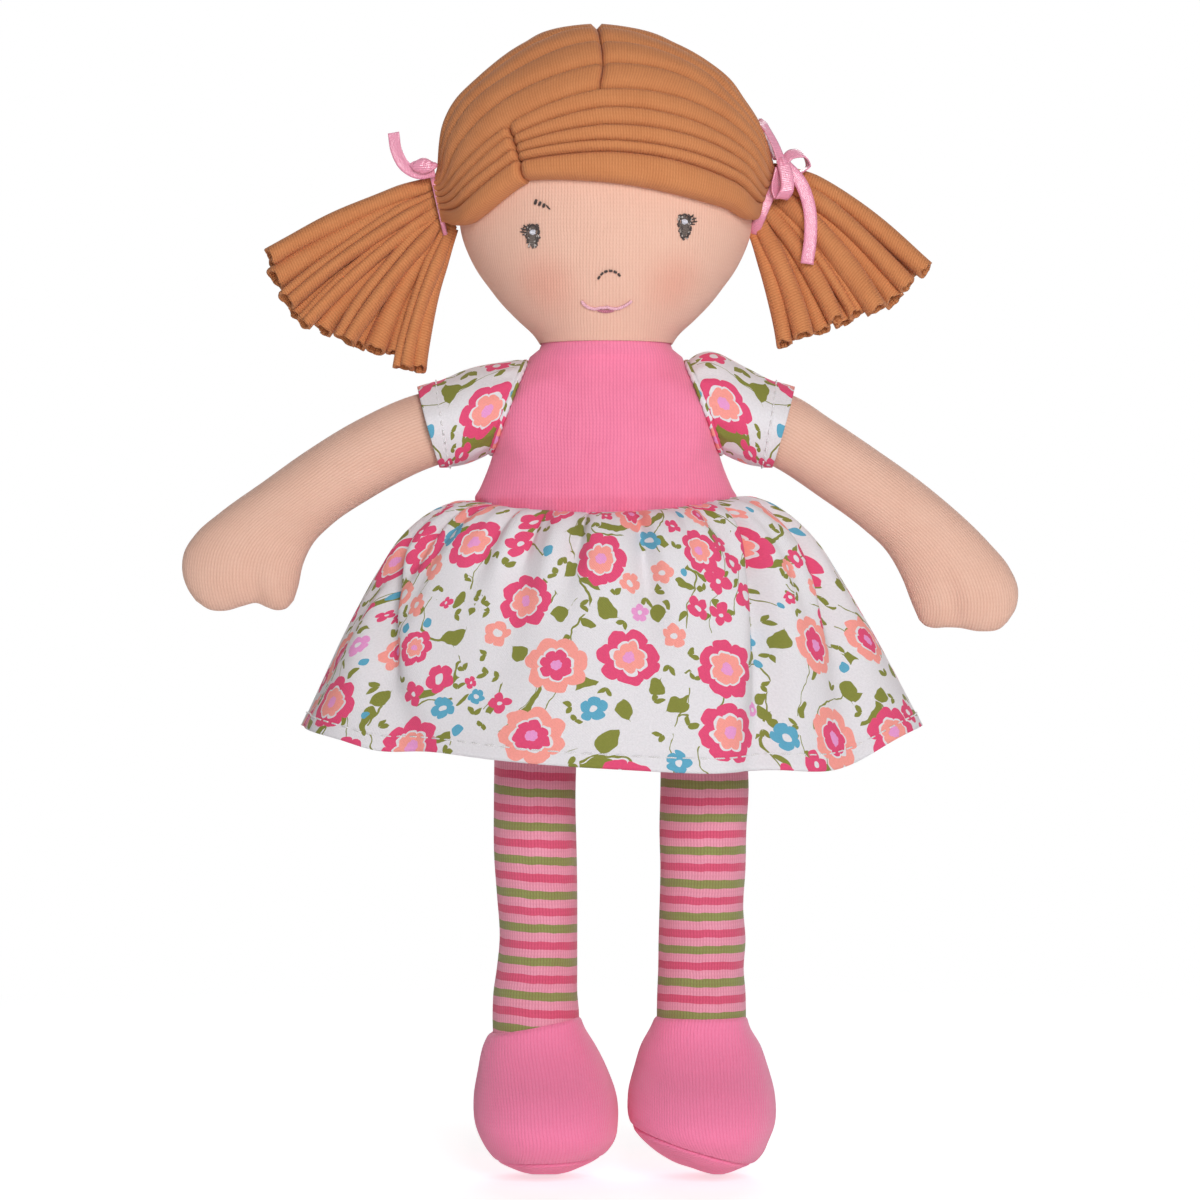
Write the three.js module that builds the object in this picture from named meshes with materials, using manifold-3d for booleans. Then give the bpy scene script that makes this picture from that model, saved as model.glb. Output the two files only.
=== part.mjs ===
// A soft rag doll in millimetres: +Z up, facing -Y, with +X on the doll's own left.
// The origin is the middle of the waist seam, where a hand or a doll stand's clip holds it.
import * as THREE from "three";
import { mergeVertices } from "three/addons/utils/BufferGeometryUtils.js";
import Module from "manifold-3d";

const wasm = await Module();
wasm.setup();

// Driving sizes
const SOLE_Z = -151; // the underside of both shoes
const GAP = 0.35; // between two sewn pieces
const SIDES = 20; // round the larger stuffed pieces
const BULGE_STEPS = 4; // across a strip of hair

// Neck and head
const NECK_PIVOT_Z = 30;
const NECK_DOME_RADIUS = 16.1;
const NECK_STUB_RADIUS = 9.5;
const NECK_STUB_TOP_Z = 54;
const HEAD_MIDDLE_Z = 66; // the height of both hair ties
// Each row: height, half width, half depth
const HEAD_ROWS = [
  [36, 14.2, 13.4],
  [38.5, 17.5, 15.6],
  [43, 23, 19],
  [50, 28.5, 22.6],
  [57, 31.8, 24.8],
  [64, 33.2, 26],
  [72, 33.6, 26.4],
  [80, 32.9, 26],
  [88, 30.1, 24.2],
  [95, 25, 20.6],
  [100, 18.5, 15.6],
  [103, 11, 9.6],
  [104, 5, 4.5],
];

// Hair: strips from the partings to the ties, placed by two angles seen from the head's middle.
// Lift is the angle up from straight ahead. Reach is the angle out towards the tie.
const HAIR_LIFT_OFF = 0.6; // of the strips' inner side above the head
const HAIR_THICKNESS = 3;
const HAIR_BULGE = 1.5;
const HAIR_BULGE_SHARE = 0.4; // of a narrow strip's width that its bulge may rise
const TIE_REACH = 78;
const CROWN_STRIPS = 5;
const CROWN_TOP_LIFT = 98;
const CROWN_EDGE_LIFT = 44; // of the lowest crown strip's lower edge at the middle parting
const CROWN_EDGE_SLOPES = { left: 0.1, right: -0.2 }; // how that edge goes on towards each tie
const BACK_LIFT = [98.6, 228];
const BACK_FOLDS = 6;
const FRINGE_STRIPS = { left: 5, right: 4 };
const SIDE_PARTING_REACH = 35.5;
// The hairline's lift: at the start, then its slope and bend, and a dip near the tie
const HAIRLINES = {
  left: { startReach: 0, start: 12.7, slope: -0.09, bend: -0.0015, dipReach: 55, dip: -0.05 },
  right: { startReach: 34.4, start: 14.9, slope: -0.43, bend: -0.0133, dipReach: 90, dip: 0 },
};
const HAIR_RADIUS = 34; // a middling size of the head, to turn widths into angles

// Pigtails
const TIE_X = 39.2;
const TIE_HEIGHT = 13;
const TIE_DEPTH = 6.4;
const TIE_RISE = 0.09; // of the tie's axis, per millimetre outward
const STRANDS = 6;
const STRAND_ROOT_X = 37.6;
const STRAND_FAN_X = 34.6; // the point that the ends fan out from
const STRAND_ANGLES = [-9, -82]; // of the first and last ends, down from level
const STRAND_LENGTHS = { left: [41.5, 30], right: [44, 36] };
const STRAND_ROOT_HALF_HEIGHT = 4.8;
const STRAND_HALF_DEPTH = 3.4;
const STRAND_ARCH = 4.5; // how far a strand bows up and out
const STRAND_LENGTH_POWER = 0.7; // how soon the lower strands grow shorter
const STRAND_ROOT_PULL = { x: [7, 8.5], z: [2.5, 3.5] }; // of the first and last strands
const STRAND_END_PULL = 0.42; // of the length
const STRAND_STAGGER = 0.05; // by which every second strand is shorter
const STRAND_ROOT_FILL = 0.85; // of the tie's depth
const STRAND_SWELL = 8; // the way over which a strand swells beyond its tie
const RIBBON_WIDTH = 3;
const RIBBON_THICKNESS = 0.7;
const KNOT_RADII = [2.5, 1.5, 2.3];
const KNOT_FORWARD = 1.6; // of the knot's middle in front of the band
const KNOT_PLACE = [40.8, 73.4];
// Each loop and tail runs out from the knot, as places across and up on the doll's left
const STRAPS = {
  left: [
    [KNOT_PLACE, [39, 79], [36.6, 84.5], [35.6, 86.4]],
    [KNOT_PLACE, [43.5, 76.2], [46, 77.6]],
    [KNOT_PLACE, [44.2, 70], [45.3, 62], [45.6, 54.5]],
  ],
  right: [[KNOT_PLACE, [44, 79], [47.5, 83.5]]],
};

// Face: places across and up, with half sizes
const EYES = {
  left: { x: 18.3, z: 63.3, radii: [2.3, 1.2, 3] },
  right: { x: -17.3, z: 60.9, radii: [2.6, 1.2, 3.1] },
};
const STITCH_RADIUS = 0.75;
const EYEBROW = [[-16, 67.8], [-14.3, 69.2], [-12.7, 69.9]];
const NOSE = [[-1.7, 51.7], [0, 53.2], [1.9, 53.3], [3.3, 52.3]];
const MOUTH = [[-5.4, 46.2], [-2.2, 44.6], [0.4, 45], [3, 44.6], [5.8, 46.2]];

// Torso
const SEAT_AXIS_Z = -14;
const SEAT_RADIUS = 14;
const SEAT_ANGLES = [78, 56, 36, 18]; // of the seat's rings, down from its axis
const SEAT_HALF_WIDTH = 29;
const SEAT_NARROWING = 5; // towards its underside
const DOME_ANGLES = [24, 38, 52, 66, 80]; // of the neck's rings, up from its pivot
const TORSO_ROWS = [
  [-14, 29, 14],
  [-6, 29.6, 14],
  [0, 28.8, 14.4],
  [8, 26.6, 15.8],
  [14, 24.9, 16.2],
  [20, 22.9, 15.8],
  [26, 20.6, 14.4],
  [31.5, 18, 12.6],
];

// Shoulders and arms
const SHOULDER = new THREE.Vector3(22, 0, 22.3);
const SHOULDER_AXIS = new THREE.Vector3(0.935, 0, 0.355).normalize();
const ARMHOLE_RADIUS = 10.6;
const ARMHOLE_ROPE_RADIUS = 1.1;
const ARMHOLE_DEPTH = 1.5;
const ARMHOLE_CUT_LENGTH = 30;
const SLEEVE_WALL = 0.8;
const SLEEVE_STEPS = 4;
const SLEEVE_SIDES = 16;
const SLEEVE_ROOT_RADIUS = ARMHOLE_RADIUS + 0.7;
const SLEEVE_HEM_HALF_HEIGHT = 9.4;
const SLEEVE_HEM_HALF_DEPTH = 10.2;
const SLEEVE_RISE = 0.9; // of its middle line
const SLEEVE_PUFF = 0.7; // of its middle ring
const SLEEVE_RIPPLE = 0.35; // of its hem
const SLEEVE_HEM = new THREE.Vector3(39.9, 0, 18.4);
const SLEEVE_HEM_AXIS = new THREE.Vector3(0.962, 0, -0.272).normalize();
const ARM_PIVOT = new THREE.Vector3(29.6, 0, 20.8);
const ARM_ROOT_RADIUS = 7.4;
const ARM_FLATNESS = 0.92;
// Each row: across, up, how much of the arm's droop it takes, radius
const ARM_ROWS = [
  [27.6, 22, 0, 5.2],
  [40, 17.2, 0, 7.2],
  [60.5, 6, 0.4, 8.4],
  [72, -1.2, 0.6, 8.6],
  [80, -8, 0.9, 9.2],
  [84, -14, 1, 7.8],
];
const ARM_DROOPS = { left: { down: -4, inward: 1.5 }, right: { down: 0, inward: 0 } };
const FINGERS = { x: 88, z: -14.6, radii: [8, 6.6, 9] };
const THUMB = { x: 74.2, z: -15.4, radii: [5.2, 5, 8.3], inwardShare: 0.3 };

// Skirt
const SKIRT_WAIST_Z = 1;
const SKIRT_WAIST = [30.9, 16.3];
const SKIRT_HEM = [69, 41];
const SKIRT_SIDE_HEM_Z = -48;
const SKIRT_FRONT_HEM_Z = -60;
const SKIRT_WALL = 0.9;
const SKIRT_FOLDS = 13;
const SKIRT_FOLD_DEPTH = 2.4;
const SKIRT_RINGS = 6;
const SKIRT_RING_CROWDING = 1.35; // of the rings towards the waist
const SKIRT_SPRING = 0.52; // how soon it springs out below the waist
const SKIRT_FOLD_GROWTH = 1.6; // of the folds' depth over the way to the hem

// Legs and shoes
const LEG_TOP_Z = SEAT_AXIS_Z - SEAT_RADIUS - 3.4;
const SEAM_THICKNESS = 2.6;
const SEAM_ENDS_X = [-26, 31];
const SEAM_HALF_DEPTH = 9;
const SEAM_BLANK_HEIGHT = 6; // before it is cut to the seat
const LEG_TOP_ANGLES = [80, 55, 30];
const LEG_RINGS_Z = [-62, -84, -104, -124];
const LEG_SWELL = 0.25; // of the stuffing, with its middle and its length
const LEG_SWELL_Z = -84;
const LEG_SWELL_LENGTH = 14;
const SHOE_SIDES = 16;
const LEGS = {
  right: { x: -16, radius: 9.2, cuffZ: -118, cuffTilt: 0.21, shoeX: 2.5, soleZ: -146.4, soleTilt: 0.04 },
  left: { x: 22, radius: 9.5, cuffZ: -116.2, cuffTilt: 0, shoeX: -0.5, soleZ: -144.6, soleTilt: -0.36 },
};
// Each row: height above the sole, half width, half depth, how far its middle lies forward
const SHOE_ROWS = [
  [0, 8.5, 11.5, 8],
  [2.4, 12.2, 16, 8],
  [6, 14.9, 18.9, 8.2],
  [11, 16, 19.8, 8.2],
  [16, 15.7, 18.8, 7.4],
  [21, 13.8, 16, 5],
  [25, 11.8, 12.6, 2.2],
  [30, 10.3, 10.4, 0.5],
  [37, 9.6, 9.6, 0],
];

// Colours
const FINISH = {
  skin: "#e7bda5",
  hair: "#c88a58",
  pink: "#e878a4",
  cotton: "#ece6e8",
  stocking: "#eb93ab",
  ribbon: "#e58cb5",
  dark: "#4b3730",
  lip: "#dd7f93",
};

const group = new THREE.Group();
const UP = new THREE.Vector3(0, 0, 1);
const ACROSS = new THREE.Vector3(0, 1, 0);
const vec = (x, y, z) => new THREE.Vector3(x, y, z);
const radians = THREE.MathUtils.degToRad;
const lerp = THREE.MathUtils.lerp;

// Turns a list of points and triangles into a solid that faces out.
function solidFrom(points, triangles) {
  const positions = new Float32Array(points.flatMap((p) => [p.x, p.y, p.z]));
  const geometry = new THREE.BufferGeometry();
  geometry.setAttribute("position", new THREE.BufferAttribute(positions, 3));
  geometry.setIndex(triangles);
  return solidOf(geometry);
}

function solidOf(geometry) {
  const bare = geometry.clone();
  bare.deleteAttribute("normal");
  bare.deleteAttribute("uv");
  const merged = mergeVertices(bare, 1e-4);
  const build = (indices) =>
    new wasm.Manifold(
      new wasm.Mesh({
        numProp: 3,
        vertProperties: merged.attributes.position.array,
        triVerts: indices,
      }),
    );
  const indices = new Uint32Array(merged.index.array);
  const made = build(indices);
  return made.volume() > 0 ? made : build(indices.reverse());
}

// Joins rings of equal length into one closed solid with a fan at each end.
function loft(rings) {
  const count = rings[0].length;
  const points = rings.flat();
  const triangles = sideTriangles(rings.length, count);
  const last = (rings.length - 1) * count;
  for (const [start, ring, flip] of [
    [0, rings[0], false],
    [last, rings[rings.length - 1], true],
  ]) {
    const middle = ring.reduce((sum, p) => sum.add(p), vec(0, 0, 0)).divideScalar(count);
    points.push(middle);
    for (let j = 0; j < count; j++) {
      const a = start + j;
      const b = start + ((j + 1) % count);
      triangles.push(points.length - 1, flip ? a : b, flip ? b : a);
    }
  }
  return solidFrom(points, triangles);
}

function sideTriangles(ringCount, count, offset = 0, flip = false) {
  const triangles = [];
  for (let i = 0; i + 1 < ringCount; i++) {
    for (let j = 0; j < count; j++) {
      const a = offset + i * count + j;
      const b = offset + i * count + ((j + 1) % count);
      const c = a + count;
      const d = b + count;
      if (flip) triangles.push(a, d, b, a, c, d);
      else triangles.push(a, b, d, a, d, c);
    }
  }
  return triangles;
}

// A wall of cloth or ribbon open at both ends: outer rings, inner rings, and a rim at each end.
function openShell(outer, inner) {
  const count = outer[0].length;
  const rings = outer.length;
  const points = [...outer.flat(), ...inner.flat()];
  const shift = rings * count;
  const triangles = [...sideTriangles(rings, count), ...sideTriangles(rings, count, shift, true)];
  for (let j = 0; j < count; j++) {
    const k = (j + 1) % count;
    triangles.push(j, shift + k, k, j, shift + j, shift + k);
    const last = (rings - 1) * count;
    triangles.push(last + j, last + k, shift + last + k, last + j, shift + last + k, shift + last + j);
  }
  return solidFrom(points, triangles);
}

// An oval ring of points round a centre, in the plane of two unit directions.
function oval(centre, right, up, halfWidth, halfHeight, sides = SIDES) {
  return Array.from({ length: sides }, (_, j) => {
    const turn = (2 * Math.PI * j) / sides;
    return centre
      .clone()
      .addScaledVector(right, halfWidth * Math.cos(turn))
      .addScaledVector(up, halfHeight * Math.sin(turn));
  });
}

function levelRing(x, y, z, halfWidth, halfDepth, sides = SIDES) {
  return oval(vec(x, y, z), vec(1, 0, 0), ACROSS, halfWidth, halfDepth, sides);
}

function ball(centre, rx, ry, rz, sides = 12) {
  const geometry = new THREE.SphereGeometry(1, sides, Math.max(6, Math.round(sides * 0.6)));
  geometry.scale(rx, ry, rz);
  geometry.translate(centre.x, centre.y, centre.z);
  return solidOf(geometry);
}

// A solid half space: everything on the side that the direction points to.
function half(point, direction) {
  const size = 300;
  const geometry = new THREE.BoxGeometry(size, size, size);
  geometry.translate(0, 0, size / 2);
  geometry.applyQuaternion(new THREE.Quaternion().setFromUnitVectors(UP, direction.clone().normalize()));
  geometry.translate(point.x, point.y, point.z);
  return solidOf(geometry);
}

// A tube through points with a radius for each, flattened from front to back where asked.
function tube(points, radii, sides, flatten = 1) {
  const curve = new THREE.CatmullRomCurve3(points);
  const steps = (points.length - 1) * 2;
  const rings = [];
  for (let i = 0; i <= steps; i++) {
    const share = i / steps;
    const along = share * (radii.length - 1);
    const low = Math.min(radii.length - 2, Math.floor(along));
    const radius = lerp(radii[low], radii[low + 1], along - low);
    const tangent = curve.getTangent(share);
    const right = vec(0, 1, 0).cross(tangent).normalize();
    rings.push(oval(curve.getPoint(share), right, ACROSS, radius, radius * flatten, sides));
  }
  return loft(rings);
}

function addPiece(name, solid, colour, roughness = 0.9) {
  const cut = solid.getMesh();
  const geometry = new THREE.BufferGeometry();
  geometry.setAttribute("position", new THREE.BufferAttribute(cut.vertProperties, 3));
  geometry.setIndex(new THREE.BufferAttribute(cut.triVerts, 1));
  geometry.computeVertexNormals();
  const finish = new THREE.MeshStandardMaterial({ color: colour, roughness, metalness: 0 });
  const mesh = new THREE.Mesh(geometry, finish);
  mesh.name = name;
  group.add(mesh);
}

// The head's form, swollen by an amount so that what lies on it can be cut to it.
function headForm(swell = 0) {
  const middle = (HEAD_ROWS[0][0] + HEAD_ROWS.at(-1)[0]) / 2;
  return loft(
    HEAD_ROWS.map(([z, w, d]) => {
      const lift = (z - middle) / (HEAD_ROWS.at(-1)[0] - middle);
      return levelRing(0, 0, z + swell * lift, w + swell, d + swell);
    }),
  );
}

// Distance from the head's middle to its surface in a direction, by halving.
function headReach(direction) {
  let low = 0;
  let high = 60;
  for (let step = 0; step < 24; step++) {
    const reach = (low + high) / 2;
    const z = HEAD_MIDDLE_Z + direction.z * reach;
    const [w, d] = headRow(z);
    const inside = w > 0 && ((direction.x * reach) / w) ** 2 + ((direction.y * reach) / d) ** 2 < 1;
    if (inside) low = reach;
    else high = reach;
  }
  return low;
}

function headRow(z) {
  if (z < HEAD_ROWS[0][0] || z > HEAD_ROWS.at(-1)[0]) return [0, 0];
  const above = Math.max(1, HEAD_ROWS.findIndex((row) => row[0] >= z));
  const [z0, w0, d0] = HEAD_ROWS[above - 1];
  const [z1, w1, d1] = HEAD_ROWS[above];
  const share = (z - z0) / (z1 - z0);
  return [lerp(w0, w1, share), lerp(d0, d1, share)];
}

function hairPoint(side, lift, reach, height) {
  const across = Math.cos(radians(reach));
  const direction = vec(
    side * Math.sin(radians(reach)),
    -across * Math.cos(radians(lift)),
    across * Math.sin(radians(lift)),
  );
  const distance = headReach(direction) + height;
  return direction.multiplyScalar(distance).add(vec(0, 0, HEAD_MIDDLE_Z));
}

// Strips of knit between two lift angles, each a function of the reach, with one bulge per strip.
function hairStrip(side, liftLow, liftHigh, reachFrom, reachTo, bulges = 1, steps = 6) {
  const rings = [];
  const count = bulges * BULGE_STEPS;
  for (let i = 0; i <= steps; i++) {
    const reach = lerp(reachFrom, reachTo, i / steps);
    const gapAngle = THREE.MathUtils.radToDeg(GAP / (2 * HAIR_RADIUS * Math.cos(radians(reach))));
    const low = liftLow(reach) + gapAngle;
    const high = liftHigh(reach) - gapAngle;
    const width = (radians(high - low) * HAIR_RADIUS * Math.cos(radians(reach))) / bulges;
    const bulge = Math.min(HAIR_BULGE, width * HAIR_BULGE_SHARE);
    const outer = [];
    const inner = [];
    for (let j = 0; j <= count; j++) {
      const lift = lerp(low, high, j / count);
      const across = (j % BULGE_STEPS) / BULGE_STEPS;
      const round = Math.sqrt(Math.max(0, 1 - (2 * across - 1) ** 2));
      outer.push(hairPoint(side, lift, reach, HAIR_THICKNESS - HAIR_BULGE + bulge * 2 * round));
      inner.push(hairPoint(side, lift, reach, HAIR_LIFT_OFF));
    }
    rings.push([...outer, ...inner.reverse()]);
  }
  return ribbonLoft(rings);
}

// A loft whose rings run out along one face and back along the other, closed at both ends by a strip.
function ribbonLoft(rings) {
  const count = rings[0].length;
  const triangles = sideTriangles(rings.length, count);
  const last = (rings.length - 1) * count;
  for (let j = 0; j + 1 < count / 2; j++) {
    const far = count - 1 - j;
    triangles.push(j + 1, j, far, j + 1, far, far - 1);
    triangles.push(last + j, last + j + 1, last + far, last + j + 1, last + far - 1, last + far);
  }
  return solidFrom(rings.flat(), triangles);
}

function addHead() {
  const pivot = vec(0, 0, NECK_PIVOT_Z);
  const bowl = ball(pivot, ...Array(3).fill(NECK_DOME_RADIUS + 2 * GAP), SIDES);
  const pocketHeight = NECK_STUB_TOP_Z + GAP - NECK_PIVOT_Z;
  const pocket = new THREE.CylinderGeometry(
    NECK_STUB_RADIUS + GAP,
    NECK_STUB_RADIUS + GAP,
    pocketHeight,
    SIDES,
  );
  pocket.rotateX(Math.PI / 2).translate(0, 0, NECK_PIVOT_Z + pocketHeight / 2);
  addPiece("head", headForm().subtract(bowl).subtract(solidOf(pocket)), FINISH.skin);

  const plugHeight = NECK_STUB_TOP_Z - NECK_PIVOT_Z;
  const plug = new THREE.CylinderGeometry(NECK_STUB_RADIUS, NECK_STUB_RADIUS, plugHeight, SIDES);
  plug.rotateX(Math.PI / 2).translate(0, 0, NECK_PIVOT_Z + plugHeight / 2);
  addPiece("neck_stub", solidOf(plug).subtract(bowl), FINISH.skin);
}

// The lower edge of the fringe on each side, as a lift angle.
function hairline(word) {
  const { startReach, start, slope, bend, dipReach, dip } = HAIRLINES[word];
  return (reach) => {
    const past = Math.max(0, reach - startReach);
    return start + slope * (reach - startReach) + bend * past ** 2 + dip * Math.max(0, reach - dipReach) ** 2;
  };
}

// The lower edge of the crown. A fringe that starts past the middle meets the other side's edge.
function crownEdge(word) {
  return (reach) => {
    const slope = reach < 0 ? CROWN_EDGE_SLOPES.right : CROWN_EDGE_SLOPES[word];
    return CROWN_EDGE_LIFT + slope * Math.abs(reach);
  };
}

// One strip out of several that share the space between two edges.
function addStrips(name, side, count, lower, upper, reachFrom, steps) {
  for (let k = 0; k < count; k++) {
    const low = (reach) => lerp(lower(reach), upper(reach), k / count);
    const high = (reach) => lerp(lower(reach), upper(reach), (k + 1) / count);
    addPiece(`${name}_${k + 1}`, hairStrip(side, low, high, reachFrom, TIE_REACH, 1, steps), FINISH.hair);
  }
}

function addHair() {
  const partingReach = THREE.MathUtils.radToDeg(GAP / HAIR_RADIUS);
  for (const [side, word] of [
    [1, "left"],
    [-1, "right"],
  ]) {
    const edge = crownEdge(word);
    addStrips(`crown_strip_${word}`, side, CROWN_STRIPS, edge, () => CROWN_TOP_LIFT, partingReach, 6);

    const [backLow, backHigh] = BACK_LIFT;
    const back = hairStrip(side, () => backLow, () => backHigh, partingReach, TIE_REACH, BACK_FOLDS);
    addPiece(`back_hair_${word}`, back, FINISH.hair);

    const start = (side > 0 ? -SIDE_PARTING_REACH : SIDE_PARTING_REACH) + partingReach;
    const steps = side > 0 ? 8 : 5;
    addStrips(`fringe_strip_${word}`, side, FRINGE_STRIPS[word], hairline(word), edge, start, steps);
  }
}

function addFace(skull) {
  const onFace = (x, z) => {
    const [w, d] = headRow(z);
    return vec(x, -d * Math.sqrt(1 - (x / w) ** 2), z);
  };
  for (const [word, { x, z, radii }] of Object.entries(EYES)) {
    addPiece(`eye_${word}`, ball(onFace(x, z), ...radii, 10).subtract(skull), FINISH.dark, 0.5);
  }
  const thread = (name, places, colour) => {
    const points = places.map(([x, z]) => onFace(x, z));
    const stitch = tube(points, Array(points.length).fill(STITCH_RADIUS), 6);
    addPiece(name, stitch.subtract(skull), colour, 0.6);
  };
  thread("eyebrow_right", EYEBROW, FINISH.dark);
  thread("nose_stitch", NOSE, FINISH.dark);
  thread("mouth_stitch", MOUTH, FINISH.lip);
}

// The tie's oval at each edge of the ribbon, grown by an amount.
function tieOvals(side, swell) {
  const along = vec(side, 0, TIE_RISE).normalize();
  const up = vec(-side * TIE_RISE, 0, 1).normalize();
  return [-0.5, 0.5].map((end) =>
    oval(
      vec(side * TIE_X, 0, HEAD_MIDDLE_Z).addScaledVector(along, end * RIBBON_WIDTH),
      up,
      ACROSS,
      TIE_HEIGHT / 2 + swell,
      TIE_DEPTH / 2 + swell,
      16,
    ),
  );
}

// A border between two strands: level through the tie, then out and down to the ends.
function strandBorder(word, share) {
  const [topLength, lowLength] = STRAND_LENGTHS[word];
  const angle = radians(lerp(...STRAND_ANGLES, share));
  const length = lerp(topLength, lowLength, share ** STRAND_LENGTH_POWER);
  const direction = vec(Math.cos(angle), 0, Math.sin(angle));
  const start = vec(STRAND_ROOT_X, 0, HEAD_MIDDLE_Z + STRAND_ROOT_HALF_HEIGHT * (1 - 2 * share));
  const end = vec(STRAND_FAN_X, 0, HEAD_MIDDLE_Z).addScaledVector(direction, length);
  const rootPull = vec(lerp(...STRAND_ROOT_PULL.x, share), 0, lerp(...STRAND_ROOT_PULL.z, share));
  const first = start.clone().add(rootPull);
  const outward = vec(-direction.z, 0, direction.x);
  const second = end.clone().addScaledVector(direction, -STRAND_END_PULL * length);
  second.addScaledVector(outward, STRAND_ARCH);
  return new THREE.CubicBezierCurve3(start, first, second, end);
}

// A fan of flattened knit tubes between the tie and the ends, each between two shared borders.
function addPigtail(side, word) {
  const steps = 6;
  for (let k = 0; k < STRANDS; k++) {
    const upper = strandBorder(word, k / STRANDS);
    const lower = strandBorder(word, (k + 1) / STRANDS);
    const cut = 1 - STRAND_STAGGER * (k % 2);
    const offMiddle = (2 * (k + 0.5)) / STRANDS - 1;
    const rootDepth = STRAND_ROOT_FILL * (TIE_DEPTH / 2) * Math.sqrt(1 - offMiddle ** 2);
    const rings = [];
    for (let i = 0; i <= steps; i++) {
      const share = (cut * i) / steps;
      const a = upper.getPoint(share);
      const b = lower.getPoint(share);
      const middle = a.clone().add(b).multiplyScalar(0.5);
      const beyondBand = (middle.x - TIE_X - RIBBON_WIDTH / 2 - GAP) / STRAND_SWELL;
      const below = (HEAD_MIDDLE_Z - TIE_HEIGHT / 2 - middle.z) / STRAND_SWELL;
      const free = THREE.MathUtils.clamp(Math.max(beyondBand, below), 0, 1);
      const across = b.sub(a);
      const halfWidth = (across.length() - GAP) / 2;
      const depth = lerp(rootDepth, STRAND_HALF_DEPTH, free);
      const ring = oval(middle, across.normalize(), ACROSS, halfWidth, depth, 8);
      rings.push(ring.map((p) => mirrored(p, side)));
    }
    addPiece(`pigtail_strand_${word}_${k + 1}`, loft(rings), FINISH.hair);
  }
}

// A flat ribbon bent along points in the front plane, one loop or tail of a bow.
function ribbonStrap(places, y, width) {
  const curve = new THREE.CatmullRomCurve3(places.map(([x, z]) => vec(x, y, z)));
  const steps = places.length * 2;
  const rings = [];
  for (let i = 0; i <= steps; i++) {
    const tangent = curve.getTangent(i / steps);
    const right = vec(0, 1, 0).cross(tangent).normalize();
    const middle = curve.getPoint(i / steps);
    const corners = [
      [-1, -1],
      [1, -1],
      [1, 1],
      [-1, 1],
    ];
    rings.push(
      corners.map(([a, b]) =>
        middle
          .clone()
          .addScaledVector(right, (a * width) / 2)
          .addScaledVector(ACROSS, (b * RIBBON_THICKNESS) / 2),
      ),
    );
  }
  return loft(rings);
}

function addRibbon(side, word) {
  const band = openShell(tieOvals(side, GAP + RIBBON_THICKNESS), tieOvals(side, GAP));
  addPiece(`ribbon_band_${word}`, band, FINISH.ribbon, 0.4);

  const front = -TIE_DEPTH / 2 - RIBBON_THICKNESS - 2 * GAP - KNOT_FORWARD;
  const [knotX, knotZ] = KNOT_PLACE;
  let bow = ball(vec(side * knotX, front, knotZ), ...KNOT_RADII, 10);
  for (const strap of STRAPS[word]) {
    const places = strap.map(([x, z]) => [side * x, z]);
    bow = bow.add(ribbonStrap(places, front, RIBBON_WIDTH));
  }
  addPiece(`ribbon_bow_${word}`, bow, FINISH.ribbon, 0.4);
}

// The torso: a seat rounded about the line that the legs fold on, and a dome that the head nods on.
function addTorso() {
  const seatRings = [];
  for (const angle of SEAT_ANGLES) {
    const depth = SEAT_RADIUS * Math.cos(radians(angle));
    const z = SEAT_AXIS_Z - SEAT_RADIUS * Math.sin(radians(angle));
    seatRings.push(levelRing(0, 0, z, SEAT_HALF_WIDTH - SEAT_NARROWING * (angle / 90) ** 3, depth));
  }
  const domeRings = DOME_ANGLES.map((angle) => {
    const radius = NECK_DOME_RADIUS * Math.cos(radians(angle));
    return levelRing(0, 0, NECK_PIVOT_Z + NECK_DOME_RADIUS * Math.sin(radians(angle)), radius, radius);
  });
  const bodyRings = TORSO_ROWS.map(([z, w, d]) => levelRing(0, 0, z, w, d));
  let torso = loft([...seatRings, ...bodyRings, ...domeRings]);
  for (const side of [1, -1]) torso = torso.subtract(armholePocket(side));
  addPiece("torso", torso, FINISH.pink);
}

function mirrored(v, side) {
  return vec(side * v.x, v.y, v.z);
}

function armholePocket(side) {
  const axis = mirrored(SHOULDER_AXIS, side);
  const radius = ARMHOLE_RADIUS + ARMHOLE_ROPE_RADIUS + 2 * GAP;
  const pocket = new THREE.CylinderGeometry(radius, radius, ARMHOLE_CUT_LENGTH, SIDES);
  pocket.translate(0, ARMHOLE_CUT_LENGTH / 2 - ARMHOLE_DEPTH, 0);
  pocket.applyQuaternion(new THREE.Quaternion().setFromUnitVectors(vec(0, 1, 0), axis));
  pocket.translate(side * SHOULDER.x, SHOULDER.y, SHOULDER.z);
  return solidOf(pocket);
}

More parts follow.
